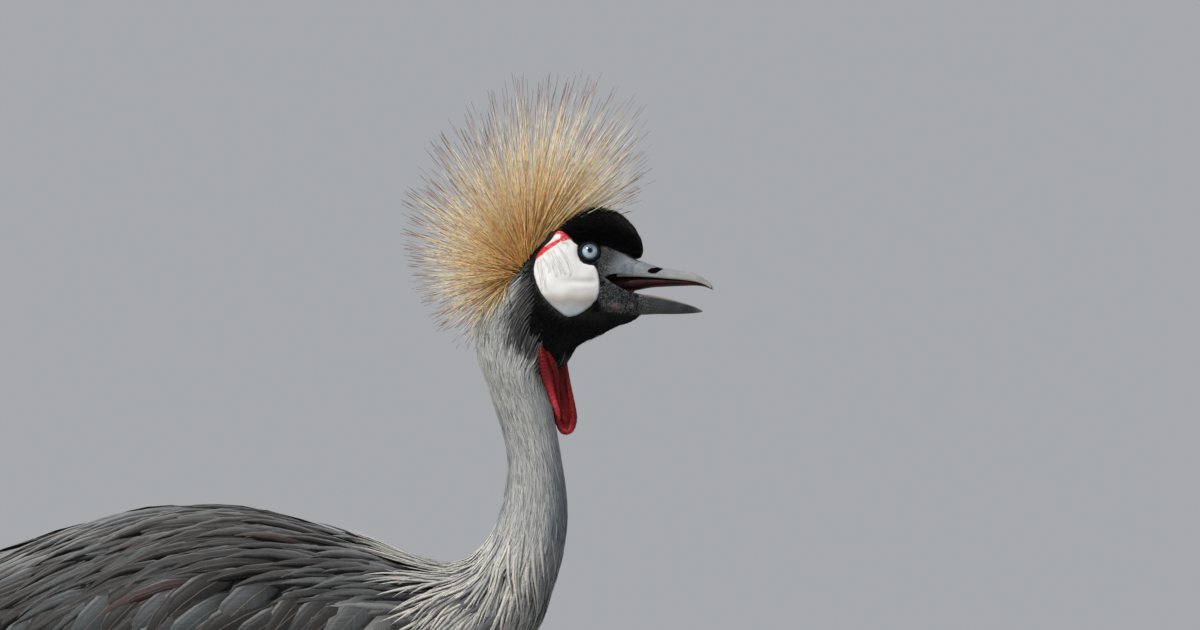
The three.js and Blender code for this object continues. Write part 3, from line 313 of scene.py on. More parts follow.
class Joined:
    """Forms gathered into one set of points and faces."""

    def __init__(self):
        self.points, self.faces = [], []

    def take(self, points, faces):
        start = sum(len(part) for part in self.points)
        self.faces += [[start + i for i in face] for face in faces]
        self.points.append(points)


class Coat:
    """Many small closed forms of one kind, joined into one piece."""

    def __init__(self):
        self.points, self.faces, self.locks, self.places, self.vanes = [], [], [], [], []
        self.count = 0

    def take(self, points, quads, locks, places, vanes):
        """points (forms, corners, 3), quads for one form, and what each corner carries."""
        forms, corners = points.shape[:2]
        a, b, c, d = (points[0, quads[:, k]] for k in range(4))
        away = a - points[0].mean(0)
        if np.sum((np.cross(b - a, c - a) + np.cross(c - a, d - a)) * away) < 0:
            quads = quads[:, ::-1]
        starts = self.count + np.arange(forms)[:, None, None] * corners
        self.points.append(points.reshape(-1, 3))
        self.faces.append((quads[None] + starts).reshape(-1, 4))
        self.locks.append(locks.reshape(-1, 4))
        self.places.append(places.reshape(-1, 2))
        self.vanes.append(vanes.reshape(-1, 2))
        self.count += forms * corners

    def piece(self, name, material, replaces=(), slot=None):
        points, faces = np.concatenate(self.points), np.concatenate(self.faces)
        made = piece_of(name, points, faces, material, replaces, slot)
        mapped(made, "OFBake", np.concatenate(self.places))
        mapped(made, "vane", np.concatenate(self.vanes))
        marked(made, "lock", np.concatenate(self.locks))
        return made


PATCH = 0.003  # each tuft's patch on the unwrap of the skin


def unwrapped(body, s, turn):
    """A body's own unwrap: round it across the map, along it up the map."""
    return np.stack([0.02 + 0.96 * ((turn / TURN) % 1), 0.02 + 0.96 * s / body.last], -1)


# Cross-sections of a feather: share of the half width, and height in half thicknesses.
FLAT_LOCK = [(-1, 0), (0, 1), (1, 0)]
LEAF = [(-1, 0), (0, 1), (1, 0), (0, -1)]
BROAD_LEAF = [(-1, 0), (-0.5, 1), (0, 1.6), (0.5, 1), (1, 0), (0, -1)]

# Outlines of a feather: how far along, share of the half width.
LANCE = [(0, 0.25), (0.18, 0.75), (0.4, 1), (0.62, 0.86), (0.8, 0.55), (0.92, 0.26), (1, 0.03)]
FALCATE = [(0, 0.3), (0.2, 0.8), (0.45, 1), (0.7, 0.94), (0.86, 0.7), (0.95, 0.38), (1, 0.05)]
SPOON = [(0, 0.3), (0.25, 0.8), (0.55, 1), (0.8, 0.88), (0.93, 0.58), (1, 0.12)]
STRAP = [(0, 0.4), (0.12, 0.8), (0.3, 1), (0.5, 1), (0.7, 0.95), (0.85, 0.8), (0.95, 0.5), (1, 0.1)]
SILK = [(0, 0.6), (0.25, 1), (0.6, 0.8), (0.85, 0.45), (1, 0.05)]


def feathers(coat, body, s, turn, length, width, outline, section=LEAF, *, sink=4.0, lift=1.0, yaw=0.0, bend=0.0,
             camber=0.12, thick=0.5, twist=0.0, tone=0.5, mask=0.0, over=None):
    """Feathers that lie on a body and point to its tail. All sizes in millimetres, one value for each feather."""
    n = len(s)
    if n == 0:
        return
    length, width, sink, lift, yaw, bend, twist, tone = (
        np.broadcast_to(np.asarray(v, float), (n,)) for v in (length, width, sink, lift, yaw, bend, twist, tone)
    )
    (t, share), (across, bulge) = np.array(outline, float).T, np.array(section, float).T
    rings, sides = len(t), len(section)
    along_s, along_turn, heading = (np.empty((n, rings)) for _ in range(3))
    here_s, here_turn = s.astype(float), turn.astype(float)
    for k in range(rings):
        along_s[:, k], along_turn[:, k] = here_s, here_turn
        heading[:, k] = yaw + bend * t[k]
        if k + 1 < rings:
            per_s, per_turn = body.rates(here_s, here_turn)
            go = (t[k + 1] - t[k]) * length
            way = 1 if isinstance(body, Limb) else -1
            here_s = np.clip(here_s + way * go * np.cos(heading[:, k]) / per_s, 0.01, body.last)
            here_turn = here_turn + go * np.sin(heading[:, k]) / per_turn
    rise = 1 - (1 - t) ** 2.2
    height = -sink[:, None] + (sink + lift)[:, None] * rise
    if over is not None:
        base = body.point(along_s, along_turn, 0)
        out = body.point(along_s, along_turn, 1) - base
        for i in range(n):
            for k in range(rings):
                way = Vector(out[i, k]).normalized()
                hit = over.ray_cast(Vector(base[i, k]) + way * 0.06, -way, 0.06)
                if hit[0] is not None:
                    height[i, k] += max(0.0, 60 - hit[3] / MM) + 0.5
    per_s, per_turn = body.rates(along_s, along_turn)
    half = width[:, None, None] / 2 * share[None, :, None] * across
    tail = -1 if isinstance(body, Limb) else 1
    corner_s = along_s[..., None] + tail * half * np.sin(heading)[..., None] / per_s[..., None]
    corner_turn = along_turn[..., None] + half * np.cos(heading)[..., None] / per_turn[..., None]
    arch = camber * width[:, None, None] * share[None, :, None] * (1 - across**2)
    corner_height = height[..., None] + arch + thick * bulge * np.maximum(share, 0.15)[None, :, None]
    corner_height = corner_height + twist[:, None, None] * half
    points = body.point(corner_s, corner_turn, corner_height).reshape(n, -1, 3)
    quads = ring_quads(rings, sides)
    if sides == 4:
        quads = np.concatenate([quads, [(3, 2, 1, 0), (rings - 1) * sides + np.arange(4)]])
    locks = np.empty((n, rings, sides, 4))
    locks[..., 0] = tone[:, None, None]
    locks[..., 1] = t[None, :, None]
    locks[..., 2] = (1 + across * share[None, :, None]) / 2
    if callable(mask):
        mask = mask(body.plain(along_s, along_turn))
    locks[..., 3] = np.reshape(mask, (-1, rings, 1) if np.ndim(mask) == 2 else (-1, 1, 1))
    patch = PATCH * np.stack(np.broadcast_arrays(across * 0.5, t[:, None] - 0.5), -1)
    vane = np.stack(np.broadcast_arrays(half, (t * length[:, None])[..., None]), -1) * MM
    coat.take(points, quads, locks, unwrapped(body, s, turn)[:, None, None] + patch, vane)


def spikes(coat, root, way, length, radius, place, *, rows, bow, aside, tone, tip):
    """Straight or bowed bristles of three sides. root and way in metres, length and radius in millimetres."""
    n = len(root)
    length, radius, bow, tone = (np.broadcast_to(np.asarray(v, float), (n,)) for v in (length, radius, bow, tone))
    way = unit(way)
    aside = unit(aside - way * np.sum(aside * way, -1, keepdims=True))
    other = np.cross(aside, way)
    t = np.linspace(0, 1, rows)
    go = (t * length[:, None]) * MM
    sag = (bow[:, None] * t**2 * length[:, None] * MM)[..., None]
    spine = root[:, None] + way[:, None] * go[..., None] + aside[:, None] * sag
    wide = radius[:, None] * MM * (1 - (1 - tip) * t**1.6)
    angle = np.arange(3) * TURN / 3
    points = spine[:, :, None] + wide[..., None, None] * (
        aside[:, None, None] * np.cos(angle)[:, None] + other[:, None, None] * np.sin(angle)[:, None])
    quads = ring_quads(rows, 3)[:, [0, 3, 2, 1]]
    locks = np.zeros((n, rows, 3, 4))
    locks[..., 0] = tone[:, None, None]
    locks[..., 1] = t[None, :, None]
    locks[..., 2] = np.arange(3) / 2
    patch = PATCH * np.stack(np.broadcast_arrays((np.arange(3) - 1) * 0.5, t[:, None] - 0.5), -1)
    vane = np.stack(np.broadcast_arrays(np.arange(3) * 0.3 * MM, go[..., None]), -1)
    coat.take(points.reshape(n, -1, 3), quads, locks, place[:, None, None] + patch, vane)


def even(low, high, roots):
    """One draw between two limits for each root."""
    return draw.uniform(low, high, len(roots))


def bell(middle, spread, roots):
    """One draw about a middle value for each root."""
    return draw.normal(middle, spread, len(roots))


def rows_of(body, s_from, s_to, turn_from, turn_to, row_gap, column_gap, ragged=0.3):
    """Roots in staggered rows, as far apart as the gaps say in millimetres."""
    line = np.linspace(s_from, s_to, 240)
    walk = np.linalg.norm(np.diff(body.plain(line, (turn_from + turn_to) / 2), axis=0), axis=1)
    walk = np.concatenate([[0], np.cumsum(walk)])
    stations = np.interp(np.arange(row_gap / 2, walk[-1], row_gap), walk, line)
    all_s, all_turn = [], []
    for j, station in enumerate(stations):
        turns = np.linspace(turn_from, turn_to, 90)
        arc = np.linalg.norm(np.diff(body.plain(np.full(90, station), turns), axis=0), axis=1)
        arc = np.concatenate([[0], np.cumsum(arc)])
        n = max(2, int(round(arc[-1] / column_gap)))
        places = (np.arange(n) + 0.25 + 0.5 * (j % 2) + draw.uniform(-ragged, ragged, n)) / n
        all_turn.append(np.interp(places * arc[-1], arc, turns))
        slip = draw.uniform(-ragged, ragged, n) * row_gap
        all_s.append(station + slip / body.rates(np.full(n, station), all_turn[-1])[0])
    return np.concatenate(all_s), np.concatenate(all_turn)


# ---- Finishes ----------------------------------------------------------------------------------------------
def linear(code):
    """An sRGB hex colour as the linear colour that a socket takes."""
    parts = [int(code[i:i + 2], 16) / 255 for i in (1, 3, 5)]
    return (*[c / 12.92 if c <= 0.04045 else ((c + 0.055) / 1.055) ** 2.4 for c in parts], 1)


USUAL = {"Mix": {"data_type": "RGBA"}, "MapRange": {"interpolation_type": "SMOOTHSTEP"}}


def add(tree, kind, wires=None, stops=None, **settings):
    """Adds one node: its settings, what its sockets hold or are wired to, and a ramp's colours. A node stands for its
    main output, and a hex code for its colour."""
    node = tree.nodes.new("ShaderNode" + kind)
    for key, value in {**USUAL.get(kind, {}), **settings}.items():
        setattr(node, key, value)
    for socket, value in (wires or {}).items():
        if isinstance(value, bpy.types.Node):
            value = value.outputs[2 if value.bl_idname == "ShaderNodeMix" else 0]
        if isinstance(value, bpy.types.NodeSocket):
            tree.links.new(value, node.inputs[socket])
        else:
            node.inputs[socket].default_value = linear(value) if isinstance(value, str) else value
    if stops:
        ramp = node.color_ramp
        ramp.elements.remove(ramp.elements[1])
        ramp.elements[0].position, ramp.elements[0].color = stops[0][0], linear(stops[0][1])
        for place, code in stops[1:]:
            ramp.elements.new(place).color = linear(code)
    return node


def new_finish(name):
    """A material with an empty tree."""
    made = bpy.data.materials.new(name)
    made.use_nodes = True
    made.node_tree.nodes.clear()
    return made, made.node_tree


def finished(made, colour, height=None, strength=0.35, depth=0.3, under=None, **shader_inputs):
    """Closes a material with its shader: the colour, a relief of some millimetres that may lie on another, and what is
    the same all over it."""
    tree = made.node_tree
    wires = {"Base Color": colour, **{key.replace("_", " "): value for key, value in shader_inputs.items()}}
    if height is not None:
        relief = {"Height": height, "Strength": strength, "Distance": depth * MM, "Normal": under}
        wires["Normal"] = add(tree, "Bump", {key: value for key, value in relief.items() if value is not None})
    add(tree, "OutputMaterial", {"Surface": add(tree, "BsdfPrincipled", wires)})
    return made


def shaded(tree, colour, share, pattern, *stops):
    """A colour multiplied, by a share, with the tints that a pattern gives."""
    tint = add(tree, "ValToRGB", {0: pattern}, stops=stops)
    return add(tree, "Mix", {0: share, 6: colour, 7: tint}, blend_type="MULTIPLY")


def vane_finish(name, tones, *, shaft, shaft_width, edge, edge_part, root, barb=0.9, rough=0.6, masked=None, gloss=0.3,
                edge_from=0.55):
    """Feather vanes of keratin barbs: slanting barbs give a fine grain, the shaft is paler and the root is downy and
    darker, partly with painted shade.
    Real barbs stand 0.3 to 0.5 mm apart; they are drawn about twice as far apart so that they show."""
    made, tree = new_finish(name)
    lock = add(tree, "Attribute", attribute_name="lock")
    tone, along, across = add(tree, "SeparateColor", {0: lock}).outputs
    vane = add(tree, "SeparateXYZ", {0: add(tree, "UVMap", uv_map="vane")})
    aside = add(tree, "Math", {0: vane}, operation="ABSOLUTE")
    slant = add(tree, "Math", {0: aside, 1: -1.3, 2: vane.outputs[1]}, operation="MULTIPLY_ADD")
    barbs = add(tree, "VectorMath", {0: add(tree, "CombineXYZ", {0: slant, 1: aside, 2: tone}),
                                     1: (1 / (barb * MM), 1 / (9 * MM), 91.0)}, operation="MULTIPLY")
    grain = add(tree, "TexNoise", {"Vector": barbs, "Scale": 1.0, "Detail": 2.0})
    centred = add(tree, "Math", {0: across, 1: 2.0, 2: -1.0}, operation="MULTIPLY_ADD")
    off_shaft = add(tree, "Math", {0: centred}, operation="ABSOLUTE")
    ground = add(tree, "ValToRGB", {0: tone}, stops=tones)
    # A paler band along each vane's edges; on the slate mantle this is a painted highlight of the lit edges.
    rim = add(tree, "MapRange", {0: off_shaft, 1: edge_from, 2: 1.0, 3: 0.0, 4: edge_part})
    rimmed = add(tree, "Mix", {0: rim, 6: ground, 7: edge})
    quill = add(tree, "MapRange", {0: off_shaft, 1: shaft_width, 2: shaft_width * 2, 3: 0.7, 4: 0.0})
    shafted = add(tree, "Mix", {0: quill, 6: rimmed, 7: shaft})
    grained = (0.3, "#a8a8a8"), (0.7, "#ffffff")
    barbed = shaded(tree, shafted, 0.85, grain, *grained)
    # painted shade with the down's own grey: each vane darkens towards its root, where the feathers above cover it
    down = add(tree, "MapRange", {0: along, 1: 0.08, 2: 0.5, 3: 0.0, 4: 1.0})
    colour = add(tree, "Mix", {0: down, 6: root, 7: barbed})
    if masked:
        other = shaded(tree, add(tree, "ValToRGB", {0: tone}, stops=masked), 0.85, grain, *grained)
        colour = add(tree, "Mix", {0: lock.outputs["Alpha"], 6: colour, 7: other})
    return finished(made, colour, grain, Roughness=rough, IOR=1.54, Specular_IOR_Level=gloss, Sheen_Weight=0.15,
                    Sheen_Roughness=0.5)


def grown_horn(tree, place, deep, pale):
    """Horn's colour, cloudy and finely lined along the bill, and its lines as a height."""
    at = add(tree, "Mapping", {"Vector": place, "Rotation": (0, math.radians(8), 0),
                               "Scale": (1 / (16 * MM), 1 / (1.2 * MM), 1 / (1.0 * MM))})
    lines = add(tree, "TexNoise", {"Vector": at, "Scale": 1.0, "Detail": 4.0})
    cloud = add(tree, "TexNoise", {"Vector": place, "Scale": 1 / (7 * MM), "Detail": 3.0})
    base = add(tree, "ValToRGB", {0: cloud}, stops=[(0.3, deep), (0.7, pale)])
    return shaded(tree, base, 0.8, lines, (0.25, "#b8b8b8"), (0.7, "#ffffff")), lines


def granules(tree, place):
    """Small hard papillae of the bare face: pale crowns on black, worn away in patches; their colour and height."""
    papillae = add(tree, "TexVoronoi", {"Vector": place, "Scale": 1 / (1.1 * MM), "Randomness": 0.9})
    patches = add(tree, "TexNoise", {"Vector": place, "Scale": 1 / (5 * MM), "Detail": 4.0})
    crowns = add(tree, "ValToRGB", {0: papillae}, stops=[(0.0, "#a7abae"), (0.24, "#5c6165"), (0.6, "#17181b")])
    return shaded(tree, crowns, 0.9, patches, (0.3, "#7a7a7a"), (0.7, "#ffffff")), papillae


SHEATH = ("#747d87", "#979da3")  # the grey of the upper bill, which runs on over the skin behind it


def skin_finish():
    """Bird's skin under black plush: matt and granular, bare and grey with 1.1 mm papillae on the lores and jaw, and
    horny and smoother where it runs on from the bill."""
    made, tree = new_finish("granular_skin")
    place = add(tree, "NewGeometry")
    bare, dark, horn, flesh = (add(tree, "Attribute", attribute_name=mark).outputs["Fac"]
                               for mark in ("bare", "dark", "horn", "flesh"))
    grain, papillae = granules(tree, place)
    grey = add(tree, "Mix", {0: flesh, 6: grain, 7: "#a88684"})
    grey = add(tree, "Mix", {0: horn, 6: grey, 7: grown_horn(tree, place, *SHEATH)[0]})
    under = add(tree, "Mix", {0: dark, 6: "#77797c", 7: "#0a0a0b"})
    colour = add(tree, "Mix", {0: bare, 6: under, 7: grey})
    swell = add(tree, "Math", {0: horn, 1: 1.0}, operation="SUBTRACT")
    swell = add(tree, "Math", {0: papillae, 1: swell}, operation="MULTIPLY")
    polish = add(tree, "MapRange", {0: horn, 1: 0.0, 2: 1.0, 3: 0.62, 4: 0.42}, interpolation_type="LINEAR")
    return finished(made, colour, swell, 0.8, 0.5, Roughness=polish, IOR=1.42, Specular_IOR_Level=0.35)


def velvet_finish():
    """Black plush of short soft feathers: it swallows light, with a faint bloom at a glancing angle."""
    made, tree = new_finish("black_plush")
    tone = add(tree, "SeparateColor", {0: add(tree, "Attribute", attribute_name="lock")})
    colour = add(tree, "ValToRGB", {0: tone}, stops=[(0.0, "#030304"), (0.75, "#08080a"), (1.0, "#151516")])
    return finished(made, colour, Roughness=0.9, IOR=1.5, Specular_IOR_Level=0.08, Sheen_Weight=0.05,
                    Sheen_Roughness=0.4)


def cheek_finish():
    """Bare white skin: matt and a little translucent, finely creased, with a scarlet band along its top rear edge. Its
    lower part is painted in shade, and its wrinkles are darkened with painted shade.
    """
    made, tree = new_finish("white_cheek_skin")
    place = add(tree, "NewGeometry")
    red, low, crease = add(tree, "SeparateColor", {0: add(tree, "Attribute", attribute_name="marks")}).outputs
    crease_depth_and_shade = add(tree, "Math", {0: crease, 1: 0.8}, operation="MULTIPLY")
    warmth = add(tree, "TexNoise", {"Vector": place, "Scale": 1 / (9 * MM), "Detail": 3.0})
    # painted shade: the low mark darkens the cheek from white through grey-brown to blue-grey towards its bottom, where
    # the skin turns down from the light; the noise adds faint stains
    stain_and_painted_shade = add(tree, "Math", {0: warmth, 1: 0.12, 2: -0.06}, operation="MULTIPLY_ADD")
    stain_and_painted_shade = add(tree, "Math", {0: stain_and_painted_shade, 1: low}, operation="ADD")
    white_with_painted_shade = add(tree, "ValToRGB", {0: stain_and_painted_shade}, stops=[
        (0.05, "#dcddde"), (0.25, "#c2c0bd"), (0.5, "#a5a19d"), (0.72, "#a6a9ab"), (0.98, "#adbac3")])
    tinted = shaded(tree, white_with_painted_shade, 0.8, warmth, (0.35, "#eeedec"), (0.65, "#ffffff"))
    # painted shade: the wrinkles and the hollow under the fold are darkened towards grey, besides being sunk in the
    # relief
    white = add(tree, "Mix", {0: crease_depth_and_shade, 6: tinted, 7: "#6a6a6d"})
    mottle = add(tree, "TexNoise", {"Vector": place, "Scale": 1 / (1.6 * MM), "Detail": 3.0})
    scarlet = add(tree, "ValToRGB", {0: mottle}, stops=[(0.3, "#a30f18"), (0.52, "#cc2029"), (0.7, "#ea6d76")])
    torn = add(tree, "Math", {0: mottle, 1: 1.5, 2: -0.75}, operation="MULTIPLY_ADD")
    torn = add(tree, "Math", {0: torn, 1: red}, operation="ADD")
    flush = add(tree, "MapRange", {0: torn, 1: 0.35, 2: 0.75, 3: 0.0, 4: 1.0})
    colour = add(tree, "Mix", {0: flush, 6: white, 7: scarlet})
    folds = add(tree, "Math", {0: crease_depth_and_shade, 1: -0.8}, operation="MULTIPLY")
    relief = add(tree, "Math", {0: mottle, 1: folds}, operation="ADD")
    return finished(made, colour, relief, 0.35, 0.35, Roughness=0.5, IOR=1.42, Specular_IOR_Level=0.35,
                    Subsurface_Weight=0.12, Subsurface_Scale=2 * MM)


def horn_finish(name, deep, pale, tip, rough=0.42):
    """Bill horn: keratin with a satin face, grown in fine lengthwise lines, paler where it wears thin at its tip and
    edge."""
    made, tree = new_finish(name)
    place = add(tree, "NewGeometry")
    wear = add(tree, "SeparateColor", {0: add(tree, "Attribute", attribute_name="wear")})
    lined, lines = grown_horn(tree, place, deep, pale)
    tipped = add(tree, "Mix", {0: wear, 6: lined, 7: tip})
    dusted, grit = granules(tree, place)
    colour = add(tree, "Mix", {0: wear.outputs[1], 6: tipped, 7: dusted})
    grown = add(tree, "Bump", {"Height": lines, "Strength": 0.25, "Distance": 0.2 * MM})
    grains = add(tree, "Math", {0: grit, 1: wear.outputs[1]}, operation="MULTIPLY")
    return finished(made, colour, grains, 0.8, 0.5, under=grown, Roughness=rough, IOR=1.54, Specular_IOR_Level=0.5)


def wet_finish(name, deep, bright, grain):
    """Thin bare skin full of blood: moist, finely pimpled, darker where it folds away from the light."""
    made, tree = new_finish(name)
    place = add(tree, "NewGeometry")
    rim = add(tree, "Attribute", attribute_name="rim").outputs["Fac"]
    pimples = add(tree, "TexVoronoi", {"Vector": place, "Scale": 1 / (grain * MM)})
    cloud = add(tree, "TexNoise", {"Vector": place, "Scale": 1 / (6 * MM), "Detail": 3.0})
    ground = add(tree, "Mix", {0: rim, 6: deep, 7: bright})
    colour = shaded(tree, ground, 0.6, pimples, (0.0, "#ffffff"), (0.7, "#8a6a6a"))
    colour = shaded(tree, colour, 0.35, cloud, (0.3, "#9c9c9c"), (0.7, "#ffffff"))
    swell = add(tree, "Math", {0: pimples, 1: -1.0}, operation="MULTIPLY")
    return finished(made, colour, swell, 0.9, 0.4, Roughness=0.42, IOR=1.4, Specular_IOR_Level=0.32,
                    Subsurface_Weight=0.15, Subsurface_Scale=1.5 * MM)


def eye_finish():
    """A living eye: pale blue iris with fine radial fibres under a wet, clear cornea, a small pupil and a dark rim, and
    the iris's upper part darkened with the lid's painted shadow.
    """
    made, tree = new_finish("pale_blue_eye")
    from_pupil, ahead, above = add(
        tree, "SeparateColor", {0: add(tree, "Attribute", attribute_name="iris")}).outputs
    ring = add(tree, "ValToRGB", {0: from_pupil}, stops=[
        (0.0, "#000000"), (0.105, "#010102"), (0.125, "#1d2630"), (0.15, "#566877"), (0.18, "#afc1ce"),
        (0.3, "#bccdd9"), (0.41, "#a3b6c4"), (0.45, "#566a7c"), (0.48, "#141c26"), (0.52, "#04060a")])
    fibres = add(tree, "VectorMath", {0: add(tree, "CombineXYZ", {0: ahead, 1: above, 2: from_pupil}),
                                      1: (22.0, 22.0, 1.0)}, operation="MULTIPLY")
    thread = add(tree, "TexNoise", {"Vector": fibres, "Scale": 1.0, "Detail": 3.0})
    colour = shaded(tree, ring, 0.6, thread, (0.3, "#9db0c0"), (0.7, "#ffffff"))
    # painted shade: the iris is darkened towards its top, for the shadow that the lid casts
    painted_lid_shadow = shaded(tree, colour, 1.0, above, (0.5, "#ffffff"), (0.95, "#8b97a1"))
    return finished(made, painted_lid_shadow, Roughness=0.03, IOR=1.42, Specular_IOR_Level=0.6)


def bristle_finish():
    """Crest bristles: stiff bare shafts, straw gold, deeper at the root, with bands of painted light and shade along
    them where a real bristle twists, and brown-black over the last tenth."""
    made, tree = new_finish("straw_gold_bristle")
    tone, along, _ = add(tree, "SeparateColor", {0: add(tree, "Attribute", attribute_name="lock")}).outputs
    course = add(tree, "ValToRGB", {0: along}, stops=[
        (0.0, "#efb466"), (0.25, "#f3c27b"), (0.55, "#f6d39b"), (0.8, "#f8e5be"), (0.87, "#bd935d"), (0.93, "#2f221a")])
    pale = add(tree, "ValToRGB", {0: along}, stops=[
        (0.0, "#f4c67c"), (0.3, "#fbdea6"), (0.6, "#fff1d0"), (0.84, "#fff8e6"), (0.92, "#94724c"), (0.97, "#2c211a")])
    colour = add(tree, "Mix", {0: tone, 6: course, 7: pale})
    # painted light and shade: bands darken along each bristle, standing for a flattened, twisted bristle turning its
    # face from the light
    turn = add(tree, "VectorMath", {0: add(tree, "CombineXYZ", {0: along, 1: tone}), 1: (26.0, 73.0, 1.0)},
               operation="MULTIPLY")
    twist = add(tree, "TexNoise", {"Vector": turn, "Scale": 1.0, "Detail": 1.0})
    colour = shaded(tree, colour, 0.6, twist, (0.35, "#92775a"), (0.55, "#ffffff"))
    return finished(made, colour, Roughness=0.38, IOR=1.54, Specular_IOR_Level=0.5, Subsurface_Weight=0.4,
                    Subsurface_Scale=1.5 * MM)


def silk_finish():
    """Neck filaments: long silky barbs, pale grey, darker towards their roots with the grey of the down and painted
    shade, black where they meet the head.
    """
    made, tree = new_finish("silky_grey_neck")
    lock = add(tree, "Attribute", attribute_name="lock")
    tone, along, _ = add(tree, "SeparateColor", {0: lock}).outputs
    grey = add(tree, "ValToRGB", {0: tone}, stops=[
        (0.0, "#4b535d"), (0.3, "#7b838b"), (0.6, "#a6aaac"), (0.8, "#bcbebc"), (1.0, "#cfcfca")])
    black = add(tree, "ValToRGB", {0: tone}, stops=[(0.0, "#040405"), (0.6, "#0c0d0f"), (1.0, "#292b2f")])
    vane = add(tree, "SeparateXYZ", {0: add(tree, "UVMap", uv_map="vane")})
    hair = add(tree, "VectorMath", {0: add(tree, "CombineXYZ", {0: vane, 1: vane.outputs[1], 2: tone}),
                                    1: (1 / (0.35 * MM), 1 / (14 * MM), 57.0)}, operation="MULTIPLY")
    threads = add(tree, "TexNoise", {"Vector": hair, "Scale": 1.0, "Detail": 2.0})
    turned = add(tree, "MapRange", {0: lock.outputs["Alpha"], 1: 0.1, 2: 0.8, 3: 0.0, 4: 1.0})
    colour = add(tree, "Mix", {0: turned, 6: grey, 7: black})
    colour = shaded(tree, colour, 0.75, threads, (0.3, "#b4b7bb"), (0.65, "#ffffff"))
    # painted shade with the down's own grey: each filament is darker at its root, where those above cover it
    root = add(tree, "MapRange", {0: along, 1: 0.0, 2: 0.4, 3: 0.7, 4: 1.0}, interpolation_type="LINEAR")
    colour = add(tree, "Mix", {0: root, 6: "#4a4d52", 7: colour})
    return finished(made, colour, threads, 0.3, 0.2, Roughness=0.5, IOR=1.54, Specular_IOR_Level=0.35,
                    Sheen_Weight=0.2, Sheen_Roughness=0.4)


def scaly_finish():
    """Leg skin: black horny scutes with a dull polish, grey dust in the joints between them and small round scales."""
    made, tree = new_finish("black_leg_skin")
    place = add(tree, "NewGeometry")
    scales = add(tree, "TexVoronoi", {"Vector": place, "Scale": 1 / (2.4 * MM), "Randomness": 0.7},
                 feature="DISTANCE_TO_EDGE")
    cloud = add(tree, "TexNoise", {"Vector": place, "Scale": 1 / (9 * MM), "Detail": 4.0})
    tint = add(tree, "ValToRGB", {0: cloud}, stops=[(0.3, "#17181a"), (0.55, "#2a2b2e"), (0.8, "#45464a")])
    colour = shaded(tree, tint, 0.8, scales, (0.0, "#7e7d7a"), (0.12, "#ffffff"))
    return finished(made, colour, scales, 0.6, 0.6, Roughness=0.48, IOR=1.5, Specular_IOR_Level=0.45)


def floor_finish():
    """Pale matt paint on a studio floor, rolled on, with a fine stipple."""
    made, tree = new_finish("pale_studio_paint")
    stipple = add(tree, "TexNoise", {"Vector": add(tree, "NewGeometry"), "Scale": 1 / (4 * MM), "Detail": 3.0})
    colour = add(tree, "ValToRGB", {0: stipple}, stops=[(0.3, "#a9a6a0"), (0.7, "#b3b0aa")])
    return finished(made, colour, Roughness=0.85, IOR=1.5)


granular_skin, black_plush, cheek_skin = skin_finish(), velvet_finish(), cheek_finish()
upper_horn = horn_finish("grey_horn", *SHEATH, "#aeaaa1")
lower_horn = horn_finish("dark_grey_horn", "#14181d", "#333a41", "#a99f8f", 0.5)
# painted shade: the mouth's lining is a dark brownish red, darker than the real flesh, for the shade inside the mouth
# and the nostrils
mouth_skin = wet_finish("mouth_lining", "#1c0806", "#54190f", 0.8)
wattle_skin = wet_finish("red_wattle_skin", "#7c0407", "#ff5563", 1.1)
blue_eye, bristle, silk, leg_skin = eye_finish(), bristle_finish(), silk_finish(), scaly_finish()
lid_skin = wet_finish("dark_lid_skin", "#05070c", "#18222f", 0.6)
claw_horn = horn_finish("black_claw_horn", "#0e0e10", "#202124", "#3a3a3c")
hackle_vane = vane_finish(
    "grey_hackle", [(0.0, "#4f555c"), (0.4, "#93979a"), (0.75, "#c9c8c3"), (1.0, "#dddad2")],
    shaft="#e4e0d6", shaft_width=0.03, edge="#cfccc5", edge_part=0.5, root="#26282c", barb=0.8)
# painted highlight: the slate feathers' pale grey edges stand for edges catching the light
slate_vane = vane_finish(
    "slate_mantle", [(0.0, "#0d0e10"), (0.3, "#211f20"), (0.6, "#313337"), (0.8, "#41464b"), (0.93, "#414a4c"),
                     (0.985, "#33211f")],
    shaft="#8f8275", shaft_width=0.012, edge="#999ea0", edge_part=0.8, edge_from=0.7, root="#08090a",
    masked=[(0.0, "#3c4045"), (0.5, "#7f8285"), (1.0, "#c4c3be")])
body_vane = vane_finish(
    "grey_body", [(0.0, "#5a5e63"), (0.5, "#7b7f83"), (1.0, "#9a9c9d")],
    shaft="#a9a8a4", shaft_width=0.015, edge="#a3a5a6", edge_part=0.4, root="#303236")
white_vane = vane_finish(
    "white_coverts", [(0.0, "#d9d5ca"), (0.5, "#ebe8e0"), (1.0, "#f6f4ee")],
    shaft="#b9b2a2", shaft_width=0.015, edge="#faf9f5", edge_part=0.4, root="#9c988e")
straw_vane = vane_finish(
    "straw_plumes", [(0.0, "#b98d3f"), (0.5, "#d8b060"), (1.0, "#ecd08c")],
    shaft="#f0dca4", shaft_width=0.1, edge="#e8cc88", edge_part=0.3, root="#8c6a34", barb=1.4)
chestnut_vane = vane_finish(
    "chestnut_flight", [(0.0, "#2e130c"), (0.5, "#45200f"), (1.0, "#5c2d1a")],
    shaft="#1d100c", shaft_width=0.02, edge="#1c0c08", edge_part=0.6, root="#190c08", rough=0.5, gloss=0.45)
black_vane = vane_finish(
    "black_flight", [(0.0, "#0c0c0f"), (0.6, "#16171b"), (1.0, "#24262c")],
    shaft="#0a0a0b", shaft_width=0.02, edge="#33363e", edge_part=0.4, root="#08080a", rough=0.45, gloss=0.5)


